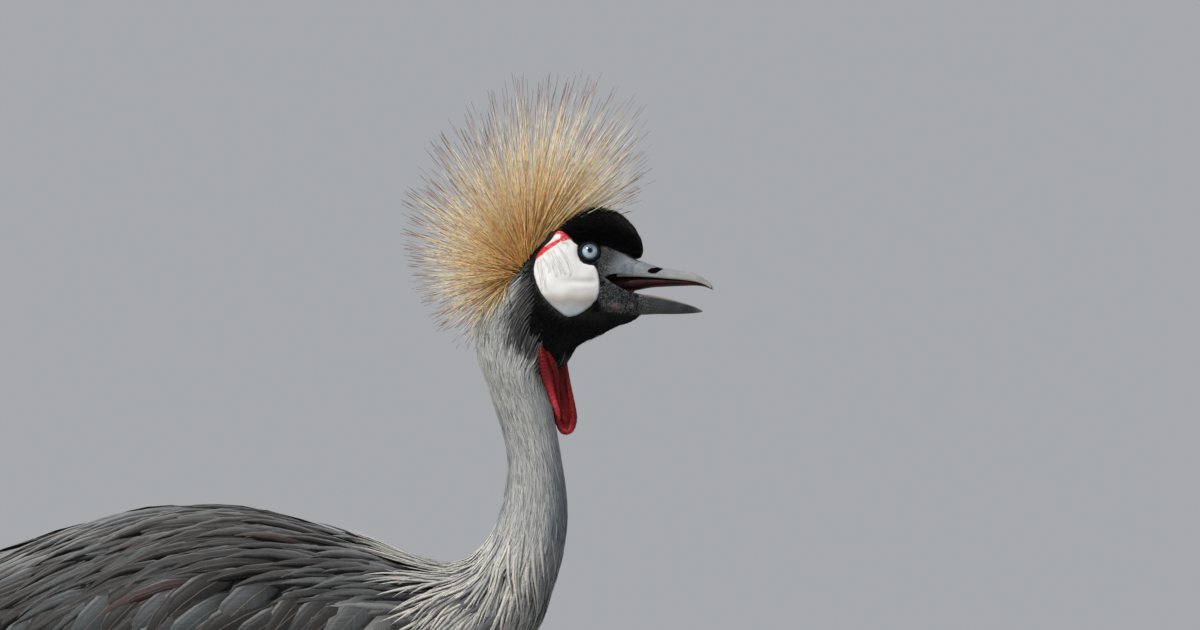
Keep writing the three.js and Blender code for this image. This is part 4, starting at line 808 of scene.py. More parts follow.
# ---- Skin --------------------------------------------------------------------------------------------------
def skin_depth(s):
    """How far the skin lies inside the coat: deep under long feathers, close under velvet."""
    return np.interp(s, [0, 12, 14, 16, 21, 24, 26, 31], [-5, -5, -4, -3, -3, -1.6, -0.9, -0.6])


def face_relief(p):
    """Hollows and swellings of the face: the socket round each eye, the hollow of the lores, the brow."""
    x, z = p[..., 0], p[..., 2]
    eye = np.hypot(x - EYE_X, z - EYE_Z)
    side = np.clip(np.abs(p[..., 1]) / 8, 0, 1)
    socket = -1.6 * (1 - step(8.2, 13, eye)) - 7 * (1 - step(6.2, 7.6, eye))
    lores = -1.3 * np.exp(-(((x - 312) / 9) ** 2 + ((z - 826) / 5) ** 2))
    brow = 0.9 * np.exp(-(((x - 293) / 9) ** 2 + ((z - 845) / 2.5) ** 2))
    jaw = 0.8 * np.exp(-(((x - 300) / 16) ** 2 + ((z - 781) / 6) ** 2))
    crown = 5.5 * np.exp(-(((x - 268) / 9) ** 2 + ((z - 848) / 8) ** 2))
    snout = -3.0 * step(311.5, 325, x) * step(806, 812, z)
    return (socket + lores + brow + jaw) * side + crown + snout


def loft_piece(name, body, s, sides, depth, material, relief=None):
    """A body's own surface as one closed piece, with its unwrap."""
    turn = np.arange(sides) / sides * TURN
    grid_s, grid_turn = np.meshgrid(s, turn, indexing="ij")
    height = depth(grid_s)
    if relief is not None:
        height = height + relief(body.plain(grid_s, grid_turn))
    points = body.point(grid_s, grid_turn, height).reshape(-1, 3)
    piece = piece_of(name, points, outwards(points, tube_faces(len(s), sides)), material)
    mapped(piece, "OFBake", unwrapped(body, grid_s, grid_turn).reshape(-1, 2))
    return piece


def prism(name, outline, y_from, y_to):
    """A side-view outline as a solid through the bird, leaning with the head."""
    n = len(outline)
    points = settled(np.array([(x, y, z) for y in (y_from, y_to) for x, z in outline], float))
    return piece_of(name, points, outwards(points, tube_faces(2, n)), granular_skin, smooth_faces=False)


def cut(piece, tools, operation):
    """Joins solids to a piece, or takes them out of it."""
    bpy.context.view_layer.objects.active = piece
    for tool in tools:
        change = piece.modifiers.new("cut", "BOOLEAN")
        change.object, change.operation, change.solver = tool, operation, "EXACT"
        bpy.ops.object.modifier_apply(modifier=change.name)
        bpy.data.objects.remove(tool)


def corners_of(piece):
    flat = np.empty(len(piece.data.vertices) * 3, np.float32)
    piece.data.vertices.foreach_get("co", flat)
    return flat.reshape(-1, 3)


def tree_of(piece):
    """A piece's surface for rays to land on."""
    faces = [tuple(face.vertices) for face in piece.data.polygons]
    return BVHTree.FromPolygons([tuple(corner) for corner in corners_of(piece)], faces)


PLUSH_EDGE = [
    (246, 834), (243, 815), (240, 797), (236.5, 781), (234.5, 770), (237.7, 763.5), (245, 757.7), (251, 753),
    (258, 746), (267, 738.5), (277, 741), (300, 750), (360, 770), (360, 890), (258, 890), (250, 848),
]


def blackness(x, z, blend=6.0, inset=0.0):
    """How black the head's plush is at a place of the side view: 1 on the head, 0 on the grey neck."""
    return step(-blend, blend, towards(PLUSH_EDGE, x, z) - inset)


def inward(depth):
    """A skin that lies one depth inside its body all over, in millimetres."""
    return lambda s: np.full(s.shape, -depth)


def towards(outline, x, z):
    """How far inside an outline of the side view places are: millimetres, less than 0 outside it."""
    return edge_distance(outline, x, z) * np.where(inside(outline, x, z), 1, -1)


dense_s = np.concatenate([np.linspace(0.02, 12, 72), np.linspace(12.1, 19, 56), np.linspace(19.05, 31, 180)])
skin = loft_piece("skin", figure, dense_s, 112, skin_depth, granular_skin, face_relief)
bed = loft_piece("wing_bed", wings, np.linspace(1.6, 11, 60), 72, inward(5.0), granular_skin)
legs = {side: Limb(side) for side, _ in SIDES}
thighs = [loft_piece("thigh", legs[side], np.linspace(0, 3.1, 26), 40, inward(2.0), granular_skin) for side, _ in SIDES]
cut(skin, [bed, *thighs], "UNION")

# The mouth's room has walls under the cheeks behind the gape, and is open right through ahead of it.
GAPE_FRONT = [(334, 815), (330, 806), (325.5, 801.6)]
GAPE_MIDDLE, GAPE_REAR, CHEEK_WALL, HEAD_WIDE = (316, 808), 322, 4.5, 40
OPEN_MOUTH = [(333.5, 815), (350, 815), (350, 796), (325, 801), (329.5, 806)]
gape = [place for place in MOUTH if place[0] < GAPE_REAR] + GAPE_FRONT
gape.sort(key=lambda place: math.atan2(place[1] - GAPE_MIDDLE[1], place[0] - GAPE_MIDDLE[0]))
for outline, low_y, high_y in ((gape, -HEAD_WIDE, -CHEEK_WALL), (gape, CHEEK_WALL, HEAD_WIDE),
                               (OPEN_MOUTH, -HEAD_WIDE, HEAD_WIDE)):
    cut(skin, [prism("mouth_room", outline, low_y, high_y)], "DIFFERENCE")
skin.name = "skin"
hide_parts("head", "neck_top", "neck_middle", "neck_base", "torso", "thigh_right", "thigh_left")

# What each corner of the skin carries: bare lores and jaw, horn behind the bill, a few pink spots, black or grey under
# the coat.
LORES = [(300, 829), (302, 838.5), (308, 834), (320, 830), (338, 824), (338, 812), (316, 813), (303, 811.5),
         (301.5, 820)]
JAW = [(300, 806), (308, 808), (318, 803), (345, 799), (345, 784), (321, 786), (308, 786.5), (301, 795)]
FLESH_SPOTS = [(314.7, 790.5, 2.2), (310.6, 791.2, 1.6), (325.4, 791.4, 1.5), (305.5, 835.2, 1.6)]
skin_place = unsettled(corners_of(skin))
sx, sz = skin_place[:, 0], skin_place[:, 2]
bare = np.maximum(*(step(-3, 0, towards(region, sx, sz)) for region in (LORES, JAW)))
bare *= 1 - 0.8 * (1 - step(0, 8, np.hypot(sx - EYE_X, sz - EYE_Z) - 8))
spots = sum(np.exp(-((sx - x) ** 2 + (sz - z) ** 2) / size**2) for x, z, size in FLESH_SPOTS)
marked(skin, "horn", step(304, 319, sx - 0.35 * (sz - 818)) * (sz > 808))
marked(skin, "flesh", 0.32 * spots)
marked(skin, "bare", bare)
marked(skin, "dark", np.maximum(blackness(sx, sz), 0.8 * step(625, 590, sz)))
marked(skin, "rim", np.full(len(sx), 0.3))


def lined(piece, chosen):
    """Gives the chosen faces of a piece the mouth's lining, whose dark colour is painted shade."""
    piece.data.materials.append(mouth_skin)
    for face in piece.data.polygons:
        if chosen(face):
            face.material_index = 1


def in_mouth(face):
    x, _, z = unsettled(np.array(face.center))
    return towards(MOUTH, np.array([x]), np.array([z]))[0] > -0.06


lined(skin, in_mouth)
skin_rays = tree_of(skin)


def onto_skin(x, z, side):
    """The place on the head's skin for each place of the side view, and the way out there."""
    at, out = [], []
    for px, pz in zip(np.ravel(x), np.ravel(z)):
        start, end = settled(np.array([[px, side * 60, pz], [px, 0, pz]], float))
        way = Vector(end - start).normalized()
        hit = skin_rays.ray_cast(Vector(start), way)
        if hit[0] is None or abs(hit[1].dot(way)) < 0.3:
            hit = skin_rays.find_nearest(Vector(end) - way * 0.011)
        at.append(hit[0])
        out.append(hit[1])
    return np.array(at, float), np.array(out, float)


def ring_course(rows, count):
    """A smooth closed course through outline points."""
    return between([*rows[-2:], *rows, *rows[:3]], 2 + np.arange(count) / count * len(rows))


# ---- Cheeks, eyes and lids ---------------------------------------------------------------------------------
RED_STRIPE = [(251.8, 827.7), (256.5, 831.5), (261, 834.4), (265.4, 837.1), (269.6, 839.7)]
RED_PEAK = [(265.6, 846), (272.2, 850.5), (281.2, 842), (278.2, 841.6), (273.6, 839.7),
            (269.8, 839.5), (271.6, 843), (270.6, 845.2), (267.4, 845)]
WRINKLES = [
    [(254.4, 826.9), (253.7, 822.9), (255.4, 816.9), (256.1, 810), (256.9, 801)],
    [(256.4, 825.4), (257.8, 818.9), (258.6, 812.5), (259.5, 806), (260.5, 801)],
    [(258.6, 826.9), (261, 822.9), (262.5, 818.9), (263.2, 814.8)],
    [(262, 830.8), (264.4, 824.9), (266.1, 819.9), (267.8, 815), (268.3, 811.4)],
    [(263.9, 831.3), (266.8, 825.9), (269, 820.9), (271.2, 816.9), (272, 813.5)],
    [(266.4, 832.4), (269.3, 826.9), (271.7, 821.9), (273.7, 816.4), (275.6, 813)],
    [(269.8, 836.3), (273.2, 830.8), (275.6, 826.4), (277.6, 821.9), (278.8, 815.9), (278.5, 811.9)],
    [(273.7, 838.3), (276.1, 837.4), (277.6, 834.8)],
]
# Each wrinkle has finer ones beside it, which start and end elsewhere: how far aside, from where to where, how deep.
WRINKLE_LINES = [(0, 0, 1, 0.62), (1.35, 0.25, 1, 0.36), (-1.1, 0.05, 0.6, 0.3)]
CHEEK_MIDDLE, CHEEK_AROUND, CHEEK_RINGS = np.array([277.0, 812.0]), 420, 112
LID = [(7.9, 1.6), (6.9, 4.7), (6.3, 5.55), (6.35, 6.0), (6.7, 6.2), (7.2, 6.0), (7.8, 5.6), (8.4, 4.8), (8.9, 3.2),
       (8.4, 1.6)]  # a lid's section: how far from the eye's axis, and how far out along it
LID_AROUND, LID_SECTION, EYE_AROUND, EYE_RINGS = 180, 33, 96, 80


def creases_of(x, z, from_edge):
    """How deep the cheek's wrinkles are, from 0 to 1, and the long hollow below its fold. The cheek's finish also
    darkens both as painted shade.
    """
    crease = np.zeros(x.shape)
    for k, line in enumerate(WRINKLES):
        for shift, start, end, weight in WRINKLE_LINES:
            t = np.linspace(start, end, 24) * (len(line) - 1)
            sway = shift + 0.3 * np.sin(2.3 * t + 1.7 * k + shift)
            course = between(line, t) + np.stack([sway, 0.4 * shift * np.ones(24)], -1)
            away = edge_distance([tuple(place) for place in course], x, z, False)
            crease += weight * np.exp(-((away / 0.5) ** 2)) * (0.8 + 0.2 * np.sin(z * 0.6 + 2 * k + 3 * shift))
    hollow = 0.24 * np.exp(-(((z - 808.8) / 2.2) ** 2)) * step(270, 285, x) * step(0, 6, from_edge)
    return np.clip(crease + hollow, 0, 1)


def cheek_piece(side, label):
    """One cheek: bare white skin that swells out of the plush, folded at mid height, with its scarlet upper edge."""
    t = np.linspace(0, 1, CHEEK_RINGS)[:, None, None] ** 0.8
    grid = CHEEK_MIDDLE + (ring_course(CHEEK, CHEEK_AROUND)[None] - CHEEK_MIDDLE) * t
    x, z = grid[..., 0], grid[..., 1]
    at, out = onto_skin(x, z, side)
    from_edge = edge_distance(CHEEK, x, z)
    fold = 0.75 * np.exp(-(((z - 808.6) / 2.8) ** 2)) - 0.5 * np.exp(-(((z - 804.0) / 3.0) ** 2))
    fold *= step(268, 284, x) * step(0, 7, from_edge)
    crease = creases_of(x, z, from_edge)
    raise_by = 0.8 - 1.4 * (1 - step(0, 1.8, from_edge)) + 2.2 * (1 - np.exp(-from_edge / 7)) - fold - 0.35 * crease
    raise_by += 0.9 * step(839, 845, z)
    points = at + out * (raise_by * MM).reshape(-1, 1)
    faces = ring_quads(CHEEK_RINGS, CHEEK_AROUND)
    cheek = piece_of(f"cheek_skin_{label}", points, faces[:, ::-side], cheek_skin, (f"cheek_{label}",), "cheek_skin")
    narrow = np.interp(x, [252, 258, 270], [2.1, 2.5, 1.5])
    stripe = 1 - step(narrow - 0.9, narrow + 0.9, edge_distance(RED_STRIPE, x, z, False))
    peak = np.maximum(0.8 * step(-1.6, 0.7, towards(RED_PEAK, x, z)), 0.5 * step(845.5, 848, z))
    red = np.maximum(stripe, peak)
    # painted shade: low grows towards the cheek's bottom, where the skin curls under and turns from the light
    low = step(804.5, 783, z + 0.8 * np.sin(0.4 * x))
    marked(cheek, "marks", np.stack([red, low, crease * (1 - red), np.ones_like(x)], -1).reshape(-1, 4))
    mapped(cheek, "OFBake", np.stack([(x - 245) / 120, (z - 780) / 120], -1).reshape(-1, 2))


def eye_pieces(side, label):
    """One eyeball with a swelling cornea, and the wrinkled lids round it."""
    axis = np.array([0.08, side, 0.10])
    cos, sin = math.cos(HEAD_ROLL), math.sin(HEAD_ROLL)
    axis = unit(np.array([axis[0], axis[1] * cos - axis[2] * sin, axis[1] * sin + axis[2] * cos]))
    up = unit(np.array([0, 0, 1.0]) - axis * axis[2])
    front = np.cross(up, axis) * -side
    centre = settled(np.array([EYE_X, side * EYE_Y, EYE_Z]))

    def placed(out, ahead, above):
        """Places round the eye: out along its axis, ahead and above."""
        return (centre + MM * (out[..., None] * axis + ahead[..., None] * front + above[..., None] * up)).reshape(-1, 3)

    angle = np.arange(EYE_AROUND) / EYE_AROUND * TURN
    fall = np.linspace(0.01, math.pi - 0.01, EYE_RINGS)[:, None]
    bulge = EYE_RADIUS * (1 + 0.05 * np.exp(-((fall / 0.6) ** 2)))
    radial = bulge * np.sin(fall)
    points = placed(bulge * np.cos(fall) * np.ones(EYE_AROUND), radial * np.cos(angle), radial * np.sin(angle))
    faces = outwards(points, tube_faces(EYE_RINGS, EYE_AROUND))
    eye = piece_of(f"eyeball_{label}", points, faces, blue_eye, (f"eye_{label}",), "eye")
    shown = np.where(fall < math.pi / 2, radial, 13) / 13
    marks = np.broadcast_arrays(shown, np.cos(angle) / 2 + 0.5, np.sin(angle) / 2 + 0.5, 1.0)
    marked(eye, "iris", np.stack(marks, -1).reshape(-1, 4))

    section = between([*LID, LID[0]], np.linspace(0, len(LID), LID_SECTION + 1)[:-1])
    far, tall = section[:, :1], section[:, 1:]
    turns = np.arange(LID_AROUND) / LID_AROUND * TURN
    wrinkle = 0.14 * np.sin(turns * 46) + 0.1 * np.sin(turns * 29 + 1)
    upper = 0.35 * np.sin(turns) - 0.15 * np.cos(2 * turns)
    far = far + wrinkle * np.clip((far - 6.3) / 1.5, 0, 1) - upper * 0.2
    points = placed(tall + 0.25 * wrinkle + 0.3 * upper, far * np.cos(turns) * 1.02, far * np.sin(turns) * 0.98)
    faces = ring_quads(LID_SECTION + 1, LID_AROUND) % (LID_SECTION * LID_AROUND)
    lid = piece_of(f"eyelids_{label}", points, np.array(outwards(points, faces.tolist())), lid_skin, slot="eye")
    # painted highlight: the lids' inner edge is made lighter, for the glint on the wet rim
    marked(lid, "rim", np.clip(1 - (far - 6) / 2, 0, 1).ravel())


for side, label in SIDES:
    cheek_piece(side, label)
    eye_pieces(side, label)


# ---- Bill, mouth and wattle --------------------------------------------------------------------------------
def arch_piece(name, rows, shape, material, replaces, slot, stations=150):
    """A half of the bill: sections of a given shape between a top edge and a bottom edge.
    shape gives, for one turn round, how far aside and how far up each corner stands, from 0 to 1."""
    s = np.linspace(0, len(rows) - 1, stations)
    top_x, top_z, low_x, low_z, half = (column[:, None] for column in np.moveaxis(between(rows, s), -1, 0))
    aside, rise = shape
    points = np.stack([low_x + (top_x - low_x) * rise, half * aside, low_z + (top_z - low_z) * rise], -1).reshape(-1, 3)
    flat = settled(points)
    piece = piece_of(name, flat, outwards(flat, tube_faces(stations, len(aside))), material, replaces, slot)
    return piece, points, np.repeat(s / (len(rows) - 1), len(aside)), np.tile(rise, stations)


def half_bill(count, lip, lip_count, round_by, hollow):
    """A bill half's section, seen as the lower one upside down: its rounded outer side, and the hollow face within."""
    u, inner = np.linspace(-1, 1, count), np.linspace(lip, -lip, lip_count)
    return np.concatenate([np.sin(u * math.pi / 2), inner]), np.cos(u * math.pi / 2) ** round_by, \
        hollow * (1 - (inner / lip) ** 2)


def worn(piece, tip, dust):
    """Where horn is worn pale, and where it is dusted with granules."""
    marked(piece, "wear", np.stack([tip, dust, dust * 0, dust * 0 + 1], -1))


aside, crown, hollow = half_bill(41, 0.86, 15, 0.72, 0.22)
upper_shape = aside, np.concatenate([crown, 0.06 + hollow])
upper, _, upper_s, upper_rise = arch_piece(
    "upper_bill_horn", UPPER_BILL, upper_shape, upper_horn, ("upper_bill",), "bill")
pale = 0.4 * step(0.1, 0.7, upper_s) + 0.6 * step(0.82, 0.99, upper_s) + 0.5 * step(0.16, 0.0, upper_rise)
worn(upper, np.clip(pale, 0, 1), np.zeros(len(pale)))
SEPTUM = 1.2  # half the wall between the nostrils
for side in (-1, 1):
    lens = [tuple(place) for place in ring_course(NOSTRIL_EDGE, 48)]
    cut(upper, [prism("nostril_room", lens, side * SEPTUM, side * 14)], "DIFFERENCE")
marked(upper, "rim", np.zeros(len(upper.data.vertices)))


def in_nostril(face):
    x, y, z = unsettled(np.array(face.center))
    beside = np.hypot((x - NOSTRIL[0]) / 6.2, (z - NOSTRIL[1]) / 2.9) < 1.05
    return abs(face.normal.y) < 0.6 and 1.1 < abs(y) < 6.9 and beside or abs(abs(y) - SEPTUM) < 0.1


# painted shade: the nostrils' walls take the dark lining, so the holes read black
lined(upper, in_nostril)

v = np.arange(40) / 40 * TURN
OVAL = np.sin(v), 0.5 + 0.5 * np.cos(v)
palate_rows = [(306, 812.6, 306.4, 810.6, 6.0)] + [
    (x, z + 1.0, x, z - deep, half * 0.86) for (_, _, x, z, half), deep in zip(UPPER_BILL, PALATE_DEPTHS)]
palate, _, palate_s, _ = arch_piece("palate_lining", palate_rows, OVAL, mouth_skin, ("palate",), "mouth_lining", 90)
marked(palate, "rim", 0.08 + 0.55 * step(0.12, 0.4, palate_s) * (0.6 + 0.4 * np.sin(palate_s * 31)))

aside, keel, trough = half_bill(33, 0.84, 17, 0.8, 0.34)
lower_shape = aside, np.concatenate([1 - keel, 0.94 - trough])
lower, lower_place, lower_s, lower_rise = arch_piece(
    "lower_bill_horn", LOWER_BILL, lower_shape, lower_horn, ("lower_bill",), "bill")
pale = np.clip(0.45 * step(0.84, 1.0, lower_s) + 0.8 * step(0.9, 1.0, lower_rise), 0, 1)
worn(lower, pale, 1 - step(331, 352, lower_place[:, 0] + 0.5 * (lower_place[:, 2] - 790)))
marked(lower, "rim", np.full(len(lower_s), 0.35))
BARE_TIP = 0.372  # ahead of this the trough is horn as well
lined(lower, lambda face: min(index % len(aside) for index in face.vertices) >= len(keel) and face.center.x < BARE_TIP)

TONGUE = [(311, 803.6, 311, 797, 4.6), (322, 801, 322, 796, 4.4), (336, 798.4, 336, 794.6, 3.6),
          (348, 797, 348, 794.4, 2.4), (357, 796, 357, 794.8, 0.7)]
tongue, _, tongue_s, _ = arch_piece("tongue_flesh", TONGUE, OVAL, mouth_skin, ("tongue",), "mouth_lining", 70)
marked(tongue, "rim", np.full(len(tongue_s), 0.75))

THROAT_FOLD = [(256.2, 758.5), (257.8, 749), (260, 739), (263.6, 726.5)]
INNER_FOLD = [(261.5, 755), (264.6, 747.5), (267.4, 739), (268.8, 728)]
# Each fold on down to the lobe: its side view, how far aside it stands, how thick it is and how bright it is painted,
# with painted light on the lower fold and painted shade above and within.
WATTLE_FOLDS = [
    ([*THROAT_FOLD, (268.6, 712.5), (270.6, 705)], [20.2, 18, 13, 5.4, 2.8, 2.0], [1.2, 3.3, 3.3, 2.9, 2.2, 1.0],
     [0.05, 0.1, 0.38, 1.0, 1.0, 0.4]),
    ([*INNER_FOLD, (270.2, 717), (271.6, 708)], [17.6, 14, 8.6, 3.6, 2.0, 1.4], [0.9, 2.9, 2.6, 2.2, 1.6, 0.7],
     [0.02, 0.05, 0.08, 0.08, 0.06, 0.05]),
]
# The web's two edges: levels, and how far ahead each edge is there.
WEB_REAR = [697, 704, 716, 729, 742, 752], [273, 269.6, 266.9, 262.4, 258.5, 257.5]
WEB_FRONT = [698, 706, 716, 729, 741, 752], [279, 281.3, 280.2, 277.6, 275.6, 274]
CORD_SIDES, FOLD_ROWS, RIBBON_COLUMNS, WEB_ROWS, WEB_COLUMNS = 20, 150, 14, 70, 30


def course_tube(course, radius):
    """Points and faces of a tube along a course in the upright bird, with a radius for each place."""
    ahead = unit(np.gradient(course, axis=0))
    aside = unit(np.cross(ahead, [0, 1.0, 0]))
    a = np.arange(CORD_SIDES) / CORD_SIDES * TURN
    ring = np.cos(a)[:, None] * aside[:, None] + np.sin(a)[:, None] * np.cross(ahead, aside)[:, None]
    points = (course[:, None] + radius[:, None, None] * ring).reshape(-1, 3)
    return points, outwards(points, tube_faces(len(course), CORD_SIDES))


def wattle_parts():
    """The wattle's rolled edge, from its rear edge round the lobe and up in front, a pimpled fold on each side with the
    skin stretched inside it, and the thin web in the middle. Each with how bright it is painted, as painted light and
    shade over the deep red."""
    place = np.linspace(0, len(WATTLE) - 1, 260)
    line = between(WATTLE, place)
    swell = np.interp(place, [0, 3, 5, 7, 9, 11], [1.5, 2.2, 2.9, 2.7, 2.3, 1.8])
    pimple = 1 + 0.05 * np.sin(place * 23) * np.sin(place * 9.1)
    course = np.stack([line[:, 0], 0.8 * np.sin(place * 1.4), line[:, 1]], -1)
    lobe = 0.06 + 0.42 * np.exp(-(((place - 5.6) / 0.9) ** 2)) + 0.06 * step(6, 9, place)
    yield *course_tube(course, swell * pimple), np.repeat(lobe, CORD_SIDES)
    t = np.linspace(0, 1, FOLD_ROWS)
    ribbons = []
    for side in (-1, 1):
        pair = []
        for edge, asides, thick, shades in WATTLE_FOLDS:
            # each fold leaves the neck's side and meets its fellow on the lobe
            (x, z), y, wide, shade = between(edge, t * 5).T, *(
                between([(v,) for v in row], t * 5)[:, 0] for row in (asides, thick, shades))
            course = np.stack([x, side * y, z], -1)
            pair += [course, shade]
            wide = wide * (1 + 0.09 * np.sin(t * 230) * np.sin(t * 97))
            yield *course_tube(course, wide), np.repeat(shade, CORD_SIDES)
        outer, shade_out, inner, shade_in = pair
        across = np.linspace(0, 1, RIBBON_COLUMNS)[None, :, None]
        ripple = (1.1 + 0.25 * np.sin(np.linspace(0, 60, FOLD_ROWS)))[:, None, None]
        swelling = np.sin(across * math.pi) * side * ripple
        sheet = outer[:, None] * (1 - across) + inner[:, None] * across + np.array([0, 1.0, 0]) * swelling
        tint = shade_out[:, None] * (1 - across[..., 0]) * 0.6 + shade_in[:, None] * across[..., 0]
        ribbons.append((sheet, side, tint))
    level, k = np.linspace(756, 698, WEB_ROWS)[:, None], np.linspace(0, 1, WEB_COLUMNS)
    rear, front = np.interp(level, *WEB_REAR), np.interp(level, *WEB_FRONT)
    pucker = 0.35 * np.sin(k * 9 + level * 0.21) + 0.2 * np.sin(level * 0.9 + k * 4)
    for push in (1, -1):
        y = push * (0.5 + 1.3 * np.sin(k * math.pi)) + pucker * push
        sheet = np.stack(np.broadcast_arrays(rear + (front - rear) * k, y, level), -1)
        ribbons.append((sheet, push, np.zeros((WEB_ROWS, WEB_COLUMNS))))
    for sheet, side, tint in ribbons:
        yield sheet.reshape(-1, 3), sheet_quads(*sheet.shape[:2])[:, ::-side].tolist(), tint.reshape(-1)


shape, shades = Joined(), []
for points, faces, shade in wattle_parts():
    shape.take(points, faces)
    shades.append(shade)
wattle = piece_of("wattle_flesh", settled(np.concatenate(shape.points)), shape.faces, wattle_skin, ("gular_wattle",),
                  "wattle")
marked(wattle, "rim", np.concatenate(shades))


# ---- Plush of the head -------------------------------------------------------------------------------------
def plush(coat, body, s, turn, depth, length, radius, lean, tone, rows=3, side_lean=0.0):
    """Short soft feathers: they stand out of the skin and lie over towards the tail by lean, from 0 to 1."""
    root = body.point(s, turn, depth)
    out = unit(body.point(s, turn, depth + 1) - root)
    back = unit(body.point(s - 0.03, turn, depth) - body.point(s + 0.03, turn, depth))
    round_it = unit(body.point(s, turn + 0.03, depth) - body.point(s, turn - 0.03, depth))
    lean, aside = lean[:, None], (side_lean + bell(0, 0.13, s))[:, None]
    way = out * (1 - lean) + back * lean + round_it * aside
    spikes(coat, root, way, length, radius, unwrapped(body, s, turn), rows=rows, bow=0.12, aside=-out, tone=tone,
           tip=0.15)


def cheek_room(p):
    """How far the cushion draws in over the bare peak of each cheek."""
    return -4.5 * step(-2.5, 0.5, towards(CHEEK, p[..., 0], p[..., 2]))


cap_base = loft_piece("cap_base", cushion, np.linspace(0.05, 6.95, 90), 96, inward(1.8), black_plush, cheek_room)
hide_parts("forehead_cushion")
marked(cap_base, "lock", np.tile([0.25, 0.5, 0.5, 1.0], (len(cap_base.data.vertices), 1)))
coat = Coat()
s, turn = rows_of(cushion, 0.1, 6.95, 0, TURN, 1.05, 1.15)
x, _, z = cushion.plain(s, turn).T
beside = -towards(CHEEK, x, z)
keep = (z > 829 + 0.1 * (x - 300)) & (beside > 1.6)
s, turn, x, beside = s[keep], turn[keep], x[keep], beside[keep]
plush(coat, cushion, s, turn, -2.4, even(4.6, 6.0, s) * (0.6 + 0.4 * step(1, 6, beside)), even(0.24, 0.36, s),
      even(0.38, 0.62, s), even(0, 1, s), side_lean=0.12 * np.sin(x * 0.5 + turn * 3))
coat.piece("cap_plush", black_plush, slot="velvet")

coat = Coat()
s, turn = rows_of(figure, 19.6, 30.8, 0, TURN, 1.3, 1.25)
x, _, z = figure.plain(s, turn).T
side_on = np.abs(np.sin(turn)) > 0.18
free = (np.hypot(x - EYE_X, z - EYE_Z) > 7.6) & ~((x > 314) & (z < 827) & (z > 800))
for region, room in ((CHEEK, 0.4), (LORES, 1.0), (JAW, 0.3), (MOUTH, 1.0)):
    free &= ~(side_on & (towards(region, x, z) > -room))
free &= even(0, 1, s) < blackness(x, z) * 1.1
s, turn, x, z = s[free], turn[free], x[free], z[free]
near_eye = 1 - step(8, 14, np.hypot(x - EYE_X, z - EYE_Z))
near_edge = 1 - step(0, 6, edge_distance(CHEEK, x, z))
long = (1 - 0.45 * np.maximum(near_eye, near_edge)) * even(4.6, 6.6, s) * np.where(x > 318, 0.6, 1)
long *= 1 + 0.35 * step(778, 766, z) * step(262, 270, x) * even(0, 1, s)
plush(coat, figure, s, turn, skin_depth(s) - 0.2, long, even(0.22, 0.36, s),
      np.clip(0.78 - 0.1 * near_eye + bell(0, 0.04, s), 0, 1), even(0, 1, s), rows=4)
coat.piece("head_plush", black_plush, slot="velvet")

# ---- Crest -------------------------------------------------------------------------------------------------
CREST_TURN, CREST_STATIONS, CREST_SPREAD = (35.0, 233.0), (25.7, 23.2), math.radians(38)
CREST_HEART, CREST_FRONT, SHORTEST = np.array([261.7, 825.6]), 343, 30
WISPS = np.array([146, 154, 162, 171, 179, 188, 197, 208, 219, 230.0])  # behind the head the bristles part in wisps
coat = Coat()
share = np.arange(1150)
share = draw.permutation((share + even(0, 1, share)) / len(share))
angle = CREST_TURN[0] + (CREST_TURN[1] - CREST_TURN[0]) * share
spread = np.clip(bell(0, 0.46, share), -1, 1) * CREST_SPREAD * np.interp(angle, [35, 60, 85, 120], [0.2, 0.45, 0.8, 1])
station = CREST_STATIONS[0] + (CREST_STATIONS[1] - CREST_STATIONS[0]) * np.clip(share + bell(0, 0.05, share), 0, 1)
root = figure.plain(station, 0.0, even(-1.5, 2.5, share))
root[:, 1] = even(-1, 1, share) * 4 + 5 * np.sin(spread)
root[:, 2] -= 0.06 * root[:, 1] ** 2
short = even(0, 1, share)
tall = np.interp(angle, *zip(*CREST_REACH)) * np.where(angle > 150, 1.08 - 0.4 * short, 1.03 - 0.5 * short)
nearest = WISPS[np.argmin(np.abs(angle[:, None] - WISPS), axis=1)]
angle += (nearest - angle) * 0.55 * step(138, 160, angle)
bearing = np.radians(angle + bell(0, 2.4, share))
goal = np.stack([CREST_HEART[0] + tall * np.cos(bearing) * np.cos(spread), tall * np.sin(spread),
                 CREST_HEART[1] + tall * np.sin(bearing) * np.cos(spread)], -1)
root_at = settled(root)
way = settled(goal) - root_at
length = np.linalg.norm(way, axis=1) / MM
clear = (goal[:, 0] < CREST_FRONT) & (length > SHORTEST)
bow = bell(0, 0.045, share)
aside = draw.normal(0, 1, (len(share), 3)) * [1, 0.5, 1]
crest_uv = unwrapped(figure, station, even(-0.42, 0.42, share))
spikes(coat, root_at[clear], way[clear], length[clear], even(0.3, 0.5, share)[clear], crest_uv[clear], rows=12,
       bow=bow[clear], aside=aside[clear], tone=even(0, 1, share)[clear], tip=0.3)
coat.piece("crest_bristles", bristle, ("crest",), "crest")

